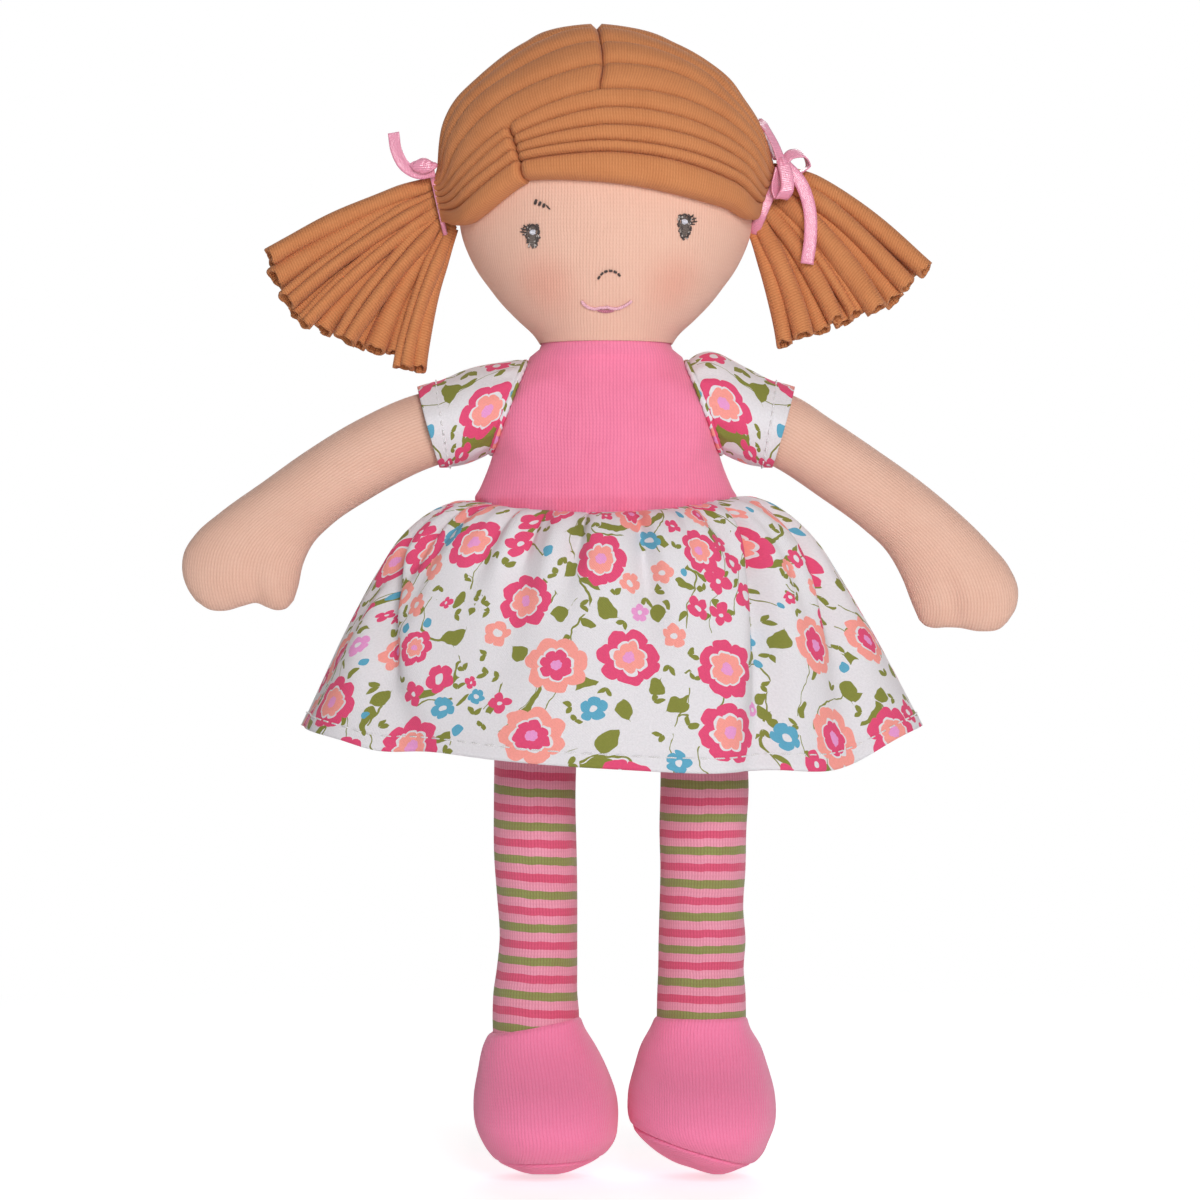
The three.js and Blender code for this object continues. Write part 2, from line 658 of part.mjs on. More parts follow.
function addShoulder(side, word) {
  const axis = mirrored(SHOULDER_AXIS, side);
  const seam = new THREE.TorusGeometry(ARMHOLE_RADIUS, ARMHOLE_ROPE_RADIUS, 6, 18);
  seam.applyQuaternion(new THREE.Quaternion().setFromUnitVectors(UP, axis));
  seam.translate(side * SHOULDER.x, SHOULDER.y, SHOULDER.z);
  addPiece(`armhole_seam_${word}`, solidOf(seam), FINISH.cotton);

  const wall = (inset) => {
    const rings = [];
    for (let i = 0; i <= SLEEVE_STEPS; i++) {
      const share = i / SLEEVE_STEPS;
      const root = SHOULDER.clone().addScaledVector(SHOULDER_AXIS, ARMHOLE_ROPE_RADIUS + GAP);
      const centre = root.clone().lerp(SLEEVE_HEM, share);
      centre.z += SLEEVE_RISE * Math.sin(Math.PI * share);
      const facing = SHOULDER_AXIS.clone().lerp(SLEEVE_HEM_AXIS, share).normalize();
      const right = ACROSS.clone().cross(facing).normalize();
      const puff = SLEEVE_PUFF * Math.sin(Math.PI * share);
      const height = lerp(SLEEVE_ROOT_RADIUS, SLEEVE_HEM_HALF_HEIGHT, share) + puff - inset;
      const depth = lerp(SLEEVE_ROOT_RADIUS, SLEEVE_HEM_HALF_DEPTH, share) + puff - inset;
      rings.push(
        oval(centre, right, ACROSS, height, depth, SLEEVE_SIDES).map((p, j) => {
          const ripple = SLEEVE_RIPPLE * share * (-1) ** j;
          return vec(side * p.x, p.y + ripple, p.z);
        }),
      );
    }
    return rings;
  };
  addPiece(`sleeve_${word}`, openShell(wall(0), wall(SLEEVE_WALL)), FINISH.cotton);
}

// An arm: a ball in the sleeve, a stuffed tube, and a mitten hand with its thumb towards the body.
function addArm(side, word) {
  const { down, inward } = ARM_DROOPS[word];
  const middleLine = ARM_ROWS.map(([x, z, share]) => vec(side * x, 0, z + down * share));
  const radii = ARM_ROWS.map((row) => row[3]);
  let arm = tube(middleLine, radii, 12, ARM_FLATNESS);
  const fingers = vec(side * (FINGERS.x - inward), 0, FINGERS.z + down);
  arm = arm.add(ball(fingers, ...FINGERS.radii, 10));
  const thumb = vec(side * (THUMB.x - inward * THUMB.inwardShare), 0, THUMB.z + down);
  arm = arm.add(ball(thumb, ...THUMB.radii, 10));
  const rootBall = ball(mirrored(ARM_PIVOT, side), ...Array(3).fill(ARM_ROOT_RADIUS), 12);
  const beyondRoot = half(mirrored(ARM_PIVOT, side), mirrored(vec(-1, 0, 0.3), side));
  addPiece(`arm_${word}`, arm.subtract(beyondRoot).add(rootBall), FINISH.skin);
}

// The gathered skirt: it springs out at the waist, hangs to a hem that dips in front, and has soft folds.
function addSkirt() {
  const sides = SKIRT_FOLDS * 4;
  const wall = (inset) => {
    const rings = [];
    for (let i = 0; i < SKIRT_RINGS; i++) {
      const share = (i / (SKIRT_RINGS - 1)) ** SKIRT_RING_CROWDING;
      const spread = share ** SKIRT_SPRING;
      const foldDepth = SKIRT_FOLD_DEPTH * Math.min(1, share * SKIRT_FOLD_GROWTH);
      rings.push(
        Array.from({ length: sides }, (_, j) => {
          const turn = (2 * Math.PI * j) / sides;
          const fold = foldDepth * Math.cos(SKIRT_FOLDS * turn);
          const w = lerp(SKIRT_WAIST[0], SKIRT_HEM[0], spread) + fold - inset;
          const d = lerp(SKIRT_WAIST[1], SKIRT_HEM[1], spread) + fold - inset;
          const hem = lerp(SKIRT_SIDE_HEM_Z, SKIRT_FRONT_HEM_Z, Math.sin(turn) ** 2);
          return vec(w * Math.cos(turn), d * Math.sin(turn), lerp(SKIRT_WAIST_Z, hem, share));
        }),
      );
    }
    return rings;
  };
  addPiece("skirt", openShell(wall(0), wall(SKIRT_WALL)), FINISH.cotton);
}

// The strip under the seat that the leg tops are sewn into.
function addSeatSeam() {
  const strip = loft(
    SEAM_ENDS_X.map((x) =>
      [
        [-SEAM_HALF_DEPTH, SEAM_BLANK_HEIGHT],
        [SEAM_HALF_DEPTH, SEAM_BLANK_HEIGHT],
        [SEAM_HALF_DEPTH, 0],
        [-SEAM_HALF_DEPTH, 0],
      ].map(([y, z]) => vec(x, y, LEG_TOP_Z + GAP + z)),
    ),
  );
  const seat = new THREE.CylinderGeometry(SEAT_RADIUS + GAP, SEAT_RADIUS + GAP, 90, 36);
  seat.rotateZ(Math.PI / 2).translate(0, 0, SEAT_AXIS_Z);
  const above = half(vec(0, 0, LEG_TOP_Z + GAP + SEAM_THICKNESS), UP);
  addPiece("seat_seam", strip.subtract(solidOf(seat)).subtract(above), FINISH.pink);
}

function addLeg(word) {
  const { x, radius, cuffZ, cuffTilt, shoeX, soleZ, soleTilt } = LEGS[word];
  const pivotZ = LEG_TOP_Z - radius;
  const rings = [];
  for (const angle of LEG_TOP_ANGLES) {
    const z = pivotZ + radius * Math.sin(radians(angle));
    const r = radius * Math.cos(radians(angle));
    rings.push(levelRing(x, 0, z, r, r));
  }
  rings.push(levelRing(x, 0, pivotZ, radius, radius));
  for (const z of LEG_RINGS_Z) {
    const full = radius + LEG_SWELL * Math.cos((z - LEG_SWELL_Z) / LEG_SWELL_LENGTH);
    rings.push(levelRing(x, 0, z, full, full));
  }
  const cuffNormal = vec(-cuffTilt, 0, 1).normalize();
  const below = half(vec(x, 0, cuffZ), cuffNormal.clone().negate());
  addPiece(`leg_${word}`, loft(rings).subtract(below), FINISH.stocking);

  const shoe = loft(
    SHOE_ROWS.map(([z, w, d, forward]) => {
      const lean = shoeX * (1 - z / SHOE_ROWS.at(-1)[0]) ** 0.5;
      return levelRing(x + lean, -forward, SOLE_Z + z, w, d, SHOE_SIDES);
    }),
  );
  const topCut = half(vec(x, 0, cuffZ - GAP), cuffNormal);
  const soleNormal = vec(-soleTilt, 0, 1).normalize();
  const solePoint = vec(x + shoeX, 0, soleZ);
  const underSole = half(solePoint, soleNormal.clone().negate());
  addPiece(`shoe_upper_${word}`, shoe.subtract(topCut).subtract(underSole), FINISH.pink);
  const soleTop = half(solePoint.clone().addScaledVector(soleNormal, -GAP), soleNormal);
  addPiece(`shoe_sole_${word}`, shoe.subtract(soleTop), FINISH.pink);
}

const skull = headForm(GAP);
addHead();
addHair();
addFace(skull);
addTorso();
for (const [side, word] of [
  [1, "left"],
  [-1, "right"],
]) {
  addPigtail(side, word);
  addRibbon(side, word);
  addShoulder(side, word);
  addArm(side, word);
  addLeg(word);
}
addSkirt();
addSeatSeam();

export default group;
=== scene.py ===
"""The looks of a soft rag doll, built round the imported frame.

All shapes are worked out in millimetres in the frame's axes (+Z up, the doll faces -Y, +X is the
doll's own left) and become metres only when a mesh is made.
"""

import logging
import math
from dataclasses import dataclass
from enum import Enum
from functools import cached_property
from typing import Callable, Sequence

import bpy
import numpy as np
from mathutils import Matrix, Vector


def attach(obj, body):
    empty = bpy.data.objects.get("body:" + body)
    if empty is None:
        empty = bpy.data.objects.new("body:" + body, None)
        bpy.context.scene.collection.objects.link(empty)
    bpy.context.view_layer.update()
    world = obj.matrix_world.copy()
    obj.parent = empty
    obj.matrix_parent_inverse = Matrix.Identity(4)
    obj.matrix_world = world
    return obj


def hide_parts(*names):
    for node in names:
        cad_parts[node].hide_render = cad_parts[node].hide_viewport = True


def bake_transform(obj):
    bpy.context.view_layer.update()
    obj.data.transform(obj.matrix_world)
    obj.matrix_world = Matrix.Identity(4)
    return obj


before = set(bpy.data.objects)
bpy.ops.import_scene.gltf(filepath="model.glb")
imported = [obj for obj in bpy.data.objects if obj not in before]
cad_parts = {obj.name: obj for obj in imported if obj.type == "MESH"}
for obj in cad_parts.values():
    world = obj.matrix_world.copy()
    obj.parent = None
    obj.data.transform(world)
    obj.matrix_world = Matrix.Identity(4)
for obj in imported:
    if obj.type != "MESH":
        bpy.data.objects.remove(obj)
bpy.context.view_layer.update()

Array = np.ndarray
Number = Array | float
Edge = Callable[[Array], Array]
Point = tuple[float, float, float]
Rows = tuple[tuple[float, ...], ...]
Colour = tuple[float, float, float, float]
Feed = bpy.types.Node | bpy.types.NodeSocket | float | tuple[float, ...]

MM = 0.001
SOLE_Z = -151.0
CLOTH_MAP = "cloth"
UP = np.array([0.0, 0.0, 1.0])
BACK = np.array([0.0, 1.0, 0.0])
SHOULDER = np.array([22.0, 0.0, 22.3])
SHOULDER_AXIS = np.array([0.935, 0.0, 0.355])
WHITE = (1, 1, 1, 1)

log = logging.getLogger("rag_doll")
MADE: dict[str, bpy.types.Material] = {}


class Side(Enum):
    """The doll's own left is +X and its right is -X."""

    LEFT = 1
    RIGHT = -1

    @property
    def word(self) -> str:
        """The side's word, as the frame's names have it."""
        return self.name.lower()

    @property
    def mirror(self) -> Array:
        """What a point on the left side is multiplied by."""
        return np.array([self.value, 1, 1])


def lerp(a: Number, b: Number, share: Number) -> Number:
    """Goes from a to b in a straight line as share goes from 0 to 1."""
    return a + (b - a) * share


def ease(share: Number) -> Number:
    """Goes from 0 to 1 with level ends: 3 s squared less 2 s cubed."""
    held = np.clip(share, 0.0, 1.0)
    return held * held * (3.0 - 2.0 * held)


def unit(vectors: Array) -> Array:
    """Each vector divided by its length."""
    return vectors / np.maximum(np.linalg.norm(vectors, axis=-1, keepdims=True), 1e-9)


def circle(count: int, start: float = 0.0) -> Array:
    """Angles spread evenly over a full turn, in radians."""
    return start + 2 * math.pi * np.arange(count) / count


def curve_through(at: Number, knots: Sequence[float], values: Sequence) -> Array:
    """A smooth curve: cubics whose slope at each knot is that of the neighbours on both sides.

    Args:
        at: places on the knots' scale, held within the first and last knot.
        knots: rising numbers.
        values: one number or one row of numbers for each knot.

    Returns:
        The values at those places.
    """
    scale, rows = np.asarray(knots, float), np.asarray(values, float)
    slopes = np.gradient(rows, scale, axis=0)
    place = np.clip(np.asarray(at, float), scale[0], scale[-1])
    cell = np.clip(np.searchsorted(scale, place, side="right") - 1, 0, len(scale) - 2)
    wide = (...,) + (None,) * (rows.ndim - 1)
    width = (scale[cell + 1] - scale[cell])[wide]
    t = (place - scale[cell])[wide] / width
    start = rows[cell] * (1 + 2 * t) * (1 - t) ** 2 + slopes[cell] * width * t * (1 - t) ** 2
    end = rows[cell + 1] * t * t * (3 - 2 * t) + slopes[cell + 1] * width * t * t * (t - 1)
    return start + end


def row_at(at: Number, rows: Rows) -> Array:
    """The smooth curve through rows that start with their knot."""
    table = np.array(rows)
    return curve_through(at, table[:, 0], table[:, 1:])


def path_through(points: Sequence, shares: Array) -> Array:
    """Points of a smooth path at shares of the summed distances between the given points."""
    rows = np.asarray(points, float)
    steps = np.linalg.norm(np.diff(rows, axis=0), axis=1)
    return curve_through(shares, np.concatenate([[0.0], np.cumsum(steps)]) / steps.sum(), rows)


def points_of(x: Number, y: Number, z: Number) -> Array:
    """Points from coordinates of any shapes that broadcast together."""
    return np.stack(np.broadcast_arrays(x, y, z), -1)


def oval_rings(width: Array, depth: Array, height: Array, turn: Array) -> Array:
    """Level ovals as rings by columns: (width cos turn, depth sin turn, height)."""
    return points_of(width[:, None] * np.cos(turn), depth[:, None] * np.sin(turn), height[:, None])


def cells(grid: Array) -> Array:
    """The four corners of each cell of a grid, as one row for each cell."""
    four = np.stack([grid[:-1, :-1], grid[:-1, 1:], grid[1:, 1:], grid[1:, :-1]], 2)
    return four.reshape(-1, *four.shape[2:])


def distances(points: Array, axis: int) -> Array:
    """Distance run along one axis of a grid of points, from 0 at its start."""
    run = np.cumsum(np.linalg.norm(np.diff(points, axis=axis), axis=-1), axis=axis)
    return np.concatenate([np.zeros_like(np.take(run, [0], axis=axis)), run], axis=axis)


def ring_cloth(rings: Array, middle: int = 0, turned: bool = False) -> Array:
    """Where each point of a tube lies on its cloth, which is cut between the last and first columns.

    Across is the distance round the ring, and along is the mean distance from the first ring.

    Args:
        rings: points in mm, as rings by columns.
        middle: the column where across is 0.
        turned: lays the knit's wales round the tube instead of along it.

    Returns:
        Places in mm, as rings by columns plus one, by 2.
    """
    across = distances(np.concatenate([rings, rings[:, :1]], axis=1), 1)
    across = across - across[:, middle : middle + 1]
    along = np.broadcast_to(distances(rings, 0).mean(axis=1)[:, None], across.shape)
    return np.stack((along, across) if turned else (across, along), axis=-1)


def sheet_cloth(points: Array, turned: bool = False) -> Array:
    """Where each point of an open sheet lies on its cloth, in mm: its distances across and along."""
    pair = distances(points, 1), distances(points, 0)
    return np.stack(pair[::-1] if turned else pair, axis=-1)


def grid_normals(points: Array, round_columns: bool) -> Array:
    """Unit normals of a grid: the cross product of its steps across and its steps along."""
    across = np.gradient(points, axis=1)
    if round_columns:
        across = np.roll(points, -1, axis=1) - np.roll(points, 1, axis=1)
    return unit(np.cross(across, np.gradient(points, axis=0)))


def soften(grid: Array, passes: int) -> Array:
    """A grid's values mixed with their neighbours' a number of times, round the columns."""
    for _ in range(passes):
        grid = (np.roll(grid, 1, 1) + 2 * grid + np.roll(grid, -1, 1)) / 4
        edged = np.pad(grid, ((1, 1), (0, 0)), mode="edge")
        grid = (edged[:-2] + 2 * grid + edged[2:]) / 4
    return grid


@dataclass
class Patch:
    """A closed surface: its points in mm, its faces, and each face corner's place on the cloth."""

    points: Array
    faces: list[Array]
    corners: list[Array]

    @staticmethod
    def tube(rings: Array, cloth: Array | None = None, flat_end: bool = False) -> "Patch":
        """A tube of rings with a fan of triangles over each end.

        Args:
            rings: points, as rings by columns.
            cloth: places on the cloth, as rings by columns plus one, or None for ring_cloth's.
            flat_end: closes the last ring, which is nearly flat, by a strip between its two halves.

        Returns:
            The closed tube.
        """
        cloth = ring_cloth(rings) if cloth is None else cloth
        count, columns = rings.shape[:2]
        index = np.arange(count * columns).reshape(count, columns)
        closed = np.pad(index, ((0, 0), (0, 1)), mode="wrap")
        points, faces, corners = [rings.reshape(-1, 3)], [cells(closed)], [cells(cloth)]
        ends = [(rings[0], closed[0, ::-1], cloth[0, ::-1]), (rings[-1], closed[-1], cloth[-1])]
        if flat_end:
            last, spot = ends.pop()[1], cloth[-1, :-1]
            half = columns // 2
            near, far = last[:half], last[::-1][:half]
            strip = np.stack([near[1:-1], near[2:], far[2:], far[1:-1]], -1)
            tips = np.array([[near[0], near[1], far[1]], [near[-1], last[half], far[-1]]])
            faces += [strip, tips]
            corners += [spot[strip - last[0]], spot[tips - last[0]]]
        for ring, line, laid in ends:
            middle = np.full(columns, count * columns + len(points) - 1)
            points.append(ring.mean(axis=0)[None])
            faces.append(np.stack([line[:-1], line[1:], middle], -1))
            corners.append(np.stack([laid[:-1], laid[1:], (laid[:-1] + laid[1:]) / 2], -2))
        return Patch(np.concatenate(points), faces, corners)

    @staticmethod
    def wall(points: Array, cloth: Array, thickness: Number, round_columns: bool) -> "Patch":
        """A thin wall: the grid pushed out and in along its normals, with a rim round its edges.

        Args:
            points: the middle of the wall, as rows by columns.
            cloth: places on the cloth, with one more column where the columns close on themselves.
            thickness: of the wall, one number or one for each point.
            round_columns: True where the last column meets the first.

        Returns:
            The closed wall.
        """
        push = grid_normals(points, round_columns) * np.asarray(thickness)[..., None] / 2
        rows, columns = points.shape[:2]
        outer = np.arange(rows * columns).reshape(rows, columns)
        if round_columns:
            outer = np.pad(outer, ((0, 0), (0, 1)), mode="wrap")
        inner = outer + rows * columns
        turned = [0, 3, 2, 1]
        faces, corners = [cells(outer), cells(inner)[:, turned]], [cells(cloth), cells(cloth)[:, turned]]
        rims = [[grid[0, ::-1], grid[-1]] for grid in (outer, inner, cloth)]
        if not round_columns:
            for rim, grid in zip(rims, (outer, inner, cloth)):
                rim.extend((grid[:, 0], grid[::-1, -1]))
        for line, under, laid in zip(*rims):
            faces.append(cells(np.stack([line, under])))
            corners.append(cells(np.stack([laid, laid])))
        both = np.concatenate([(points + push).reshape(-1, 3), (points - push).reshape(-1, 3)])
        return Patch(both, faces, corners)

    @staticmethod
    def joined(patches: Sequence["Patch"]) -> "Patch":
        """Several closed surfaces as one."""
        faces, corners, start = [], [], 0
        for patch in patches:
            faces += [face + start for face in patch.faces]
            corners += patch.corners
            start += len(patch.points)
        return Patch(np.concatenate([p.points for p in patches]), faces, corners)

    def outward(self) -> "Patch":
        """The same surface with its faces pointing out: turned round if its volume is negative."""
        volume = 0.0
        for face in self.faces:
            corner = self.points[face]
            for k in range(1, face.shape[1] - 1):
                volume += np.einsum("ij,ij->", corner[:, 0], np.cross(corner[:, k], corner[:, k + 1]))
        if volume >= 0:
            return self
        return Patch(self.points, [f[:, ::-1] for f in self.faces], [c[:, ::-1] for c in self.corners])


def threads(middle: Array, side: Array, out: Array, girth: Number, around: int) -> list[Patch]:
    """Thin threads along lines.

    Args:
        middle: the threads' middles, as threads by points.
        side: unit directions across each thread, in the cloth.
        out: unit directions out of the cloth.
        girth: the threads' radius.
        around: how many columns go round a thread.

    Returns:
        One closed tube for each thread.
    """
    q = circle(around)[:, None]
    rings = middle[:, :, None] + (side[:, :, None] * np.cos(q) + out[:, :, None] * np.sin(q)) * girth
    return [Patch.tube(one).outward() for one in rings]


def sew(
    name: str,
    patches: Patch | Sequence[Patch],
    finish: "Finish",
    body: str,
    nodes: Sequence[str] = (),
) -> bpy.types.Object:
    """Makes one smooth piece at the origin and gives it its place in the frame.

    Args:
        name: the piece's name.
        patches: its closed surfaces.
        finish: what it is made of.
        body: the body that it rides on, or an empty word for a piece that rides on none.
        nodes: the frame's nodes that it stands for.

    Returns:
        The piece.
    """
    patch = Patch.joined([p.outward() for p in ([patches] if isinstance(patches, Patch) else patches)])
    mesh = bpy.data.meshes.new(name)
    sizes = np.concatenate([np.full(len(face), face.shape[1]) for face in patch.faces])
    loops = np.concatenate([face.ravel() for face in patch.faces])
    mesh.vertices.add(len(patch.points))
    mesh.vertices.foreach_set("co", (patch.points * MM).astype(np.float32).ravel())
    mesh.loops.add(len(loops))
    mesh.loops.foreach_set("vertex_index", loops.astype(np.int32))
    mesh.polygons.add(len(sizes))
    mesh.polygons.foreach_set("loop_start", (np.cumsum(sizes) - sizes).astype(np.int32))
    mesh.update(calc_edges=True)
    laid = np.concatenate([c.reshape(-1, 2) for c in patch.corners])
    mesh.uv_layers.new(name=CLOTH_MAP).uv.foreach_set("vector", laid.astype(np.float32).ravel())
    mesh.shade_smooth()
    mesh.validate()
    mesh.materials.append(finish.material())
    made = bpy.data.objects.new(name, mesh)
    bpy.context.scene.collection.objects.link(made)
    if body:
        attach(made, body)
    if nodes:
        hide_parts(*nodes)
    log.info("%s: %d faces on %s", name, len(mesh.polygons), body or "two bodies")
    return made


def linear(hex_colour: str) -> Colour:
    """An sRGB hex colour as linear red, green, blue and alpha."""
    parts = [int(hex_colour[k : k + 2], 16) / 255 for k in (1, 3, 5)]
    red, green, blue = (p / 12.92 if p <= 0.04045 else ((p + 0.055) / 1.055) ** 2.4 for p in parts)
    return red, green, blue, 1.0


class Recipe:
    """The nodes of one material or world."""

    def __init__(self, owner: bpy.types.Material | bpy.types.World) -> None:
        """Starts with no nodes."""
        owner.use_nodes = True
        self.owner, self.tree = owner, owner.node_tree
        self.tree.nodes.clear()

    def add(self, kind: str, *inputs: Feed | None, **named: Feed | str) -> bpy.types.Node:
        """Adds a node.

        Args:
            kind: the node's kind without its prefix, and after a colon its operation if it has one.
            inputs: values, nodes or sockets for its first sockets in order, None to skip one.
            named: with a capital, the same for a socket by name; without, a setting of the node.

        Returns:
            The node.
        """
        word, _, operation = kind.partition(":")
        made = self.tree.nodes.new("ShaderNode" + word)
        if operation:
            made.operation = operation
        sockets = dict(enumerate(inputs))
        for key, value in named.items():
            if key[0].isupper():
                sockets[key.replace("_", " ")] = value
            else:
                setattr(made, key, value)
        for key, value in sockets.items():
            if isinstance(value, bpy.types.Node):
                value = value.outputs[0]
            if isinstance(value, bpy.types.NodeSocket):
                self.tree.links.new(value, made.inputs[key])
            elif value is not None:
                made.inputs[key].default_value = value
        return made

    def warped(self, place: Feed, scale: float, detail: float, reach: Point) -> bpy.types.Node:
        """A place moved to and fro by a slow noise, by half the reach at most."""
        slow = self.add("TexNoise", place, Scale=scale, Detail=detail, noise_dimensions="2D")
        centred = self.add("VectorMath:SUBTRACT", slow.outputs["Color"], (0.5, 0.5, 0.5))
        return self.add("VectorMath:MULTIPLY_ADD", centred, reach, place)

    def shaded(self, colour: Feed, light: Feed) -> bpy.types.Node:
        """A colour times a level: painted light and shade, or the weave's uneven tone."""
        return self.add("MixRGB", 1.0, colour, light, blend_type="MULTIPLY")

    def ramp(self, share: Feed, stops: Sequence[tuple[float, str]]) -> bpy.types.NodeSocket:
        """A colour picked by a share: each stop's colour holds up to the next stop."""
        made = self.add("ValToRGB", share)
        made.color_ramp.interpolation = "CONSTANT"
        for _ in stops[2:]:
            made.color_ramp.elements.new(0.5)
        for element, (place, colour) in zip(made.color_ramp.elements, stops):
            element.position, element.color = place, linear(colour)
        return made.outputs["Color"]

    def finish(self, colour: Feed, relief_mm: float, height: Feed, **sockets: Feed) -> bpy.types.Material:
        """Ends the material in one shader, on which a height of 1 stands out by the relief."""
        bump = self.add("Bump", Strength=1.0, Distance=relief_mm * MM, Height=height)
        self.add("OutputMaterial", self.add("BsdfPrincipled", Base_Color=colour, Normal=bump, **sockets))
        return self.owner


@dataclass(frozen=True)
class Finish:
    """What a piece is made of, as one shared material."""

    name: str

    def material(self) -> bpy.types.Material:
        """The finish's material, made once."""
        if self.name not in MADE:
            MADE[self.name] = self.mix(Recipe(bpy.data.materials.new(self.name)))
        return MADE[self.name]

    def mix(self, recipe: Recipe) -> bpy.types.Material:
        """Builds the material's nodes."""
        raise NotImplementedError


@dataclass(frozen=True)
class Jersey(Finish):
    """Brushed cotton jersey, fine single knit.

    Its wales are thin upright ribs of V-shaped loops, with shade painted into the grooves
    between them as well as their bump, and its brushed fibres give a soft matt edge. Real wales
    are about 0.6 mm apart. They are drawn a little coarser, so that they show in the render.
    """

    colour: str
    # the colour that the grooves between wales are darkened with: painted shade
    groove_shade: str
    wale: float = 0.72
    course: float = 0.9
    relief: float = 0.09
    drift: float = 0.5
    mottle: float = 0.1
    sheen: float = 0.18

    def tint(self, recipe: Recipe, across: Feed, along: Feed) -> Feed:
        """The yarn's colour before the knit shades it."""
        return linear(self.colour)

    def mix(self, recipe: Recipe) -> bpy.types.Material:
        """Builds the knit from the cloth's own places in mm."""
        add = recipe.add
        cloth = add("UVMap", uv_map=CLOTH_MAP)
        place = add("SeparateXYZ", recipe.warped(cloth, 0.07, 2.0, (self.drift * 2,) * 3)).outputs
        across = add("Math:DIVIDE", place["X"], self.wale)
        rib = add("Math:ABSOLUTE", add("Math:SINE", add("Math:MULTIPLY", across, math.pi)))
        along = add("Math:DIVIDE", place["Y"], self.course)
        vee = add("Math:MULTIPLY_ADD", add("Math:PINGPONG", across, 0.5), 1.3, along)
        loop = add("Math:SINE", add("Math:MULTIPLY", vee, 2 * math.pi))
        stitch = add("Math:MULTIPLY_ADD", loop, 0.16, 0.84)
        knit = add("Math:MULTIPLY", add("Math:POWER", rib, 0.7), stitch)
        fibre = add("TexNoise", cloth, Scale=2.6, Detail=3.0, noise_dimensions="2D")
        height = add("Math:MULTIPLY_ADD", fibre, 0.45, knit)

        blotch = add("TexNoise", cloth, Scale=0.16, Detail=4.0, noise_dimensions="2D")
        uneven = add("MapRange", blotch, 0.25, 0.75, -self.mottle, self.mottle)
        # Painted shade: where the knit is low, between the wales, the yarn is mixed towards the groove shade
        # colour; the mottle adds a random uneven tone.
        knit_shade_and_mottle = add("Math:ADD", add("Math:MULTIPLY_ADD", knit, 0.75, 0.2), uneven, use_clamp=True)
        yarn = self.tint(recipe, place["X"], place["Y"])
        colour = add("MixRGB", knit_shade_and_mottle, recipe.shaded(yarn, linear(self.groove_shade)), yarn)
        matt = {"Roughness": 0.88, "Specular_IOR_Level": 0.25, "Sheen_Roughness": 0.55}
        return recipe.finish(colour, self.relief, height, Sheen_Weight=self.sheen, **matt)


@dataclass(frozen=True)
class FaceJersey(Jersey):
    """Skin jersey with a soft airbrushed blush on each cheek."""

    blush: str = "#e8907c"
    cheeks: tuple[Point, ...] = ((-14.5, -21.0, 47.6), (16.5, -20.5, 47.6))
    spread: float = 11.5
    strength: float = 0.42

    def tint(self, recipe: Recipe, across: Feed, along: Feed) -> Feed:
        """Skin, turning to blush near a cheek."""
        place = recipe.add("TexCoord").outputs["Object"]
        fade = self.spread * MM, self.strength, 0.0
        colour = linear(self.colour)
        for cheek in self.cheeks:
            away = recipe.add("VectorMath:DISTANCE", place, tuple(c * MM for c in cheek)).outputs["Value"]
            share = recipe.add("MapRange", away, 0.0, *fade, interpolation_type="SMOOTHSTEP")
            colour = recipe.add("MixRGB", share, colour, linear(self.blush))
        return colour


@dataclass(frozen=True)
class StripedJersey(Jersey):
    """Yarn-dyed stocking jersey: light pink, deep pink, light pink and green courses in turn."""

    deep: str = "#e45f81"
    green: str = "#959c5b"
    repeat: float = 7.52
    start: float = 0.0
    slope: float = 0.0

    def tint(self, recipe: Recipe, across: Feed, along: Feed) -> Feed:
        """The stripe's colour at a height, with edges that step a little from wale to wale."""
        add = recipe.add
        tilted = add("Math:MULTIPLY_ADD", across, self.slope, along)
        wavy = add("TexNoise", W=across, Scale=0.3, Detail=2.0, noise_dimensions="1D")
        shaken = add("Math:MULTIPLY_ADD", wavy, 0.5, tilted)
        turn = add("Math:DIVIDE", add("Math:SUBTRACT", shaken, self.start), self.repeat)
        stops = ((0.0, self.colour), (0.26, self.deep), (0.5, self.colour), (0.75, self.green))
        return recipe.ramp(add("Math:FRACT", turn), stops)


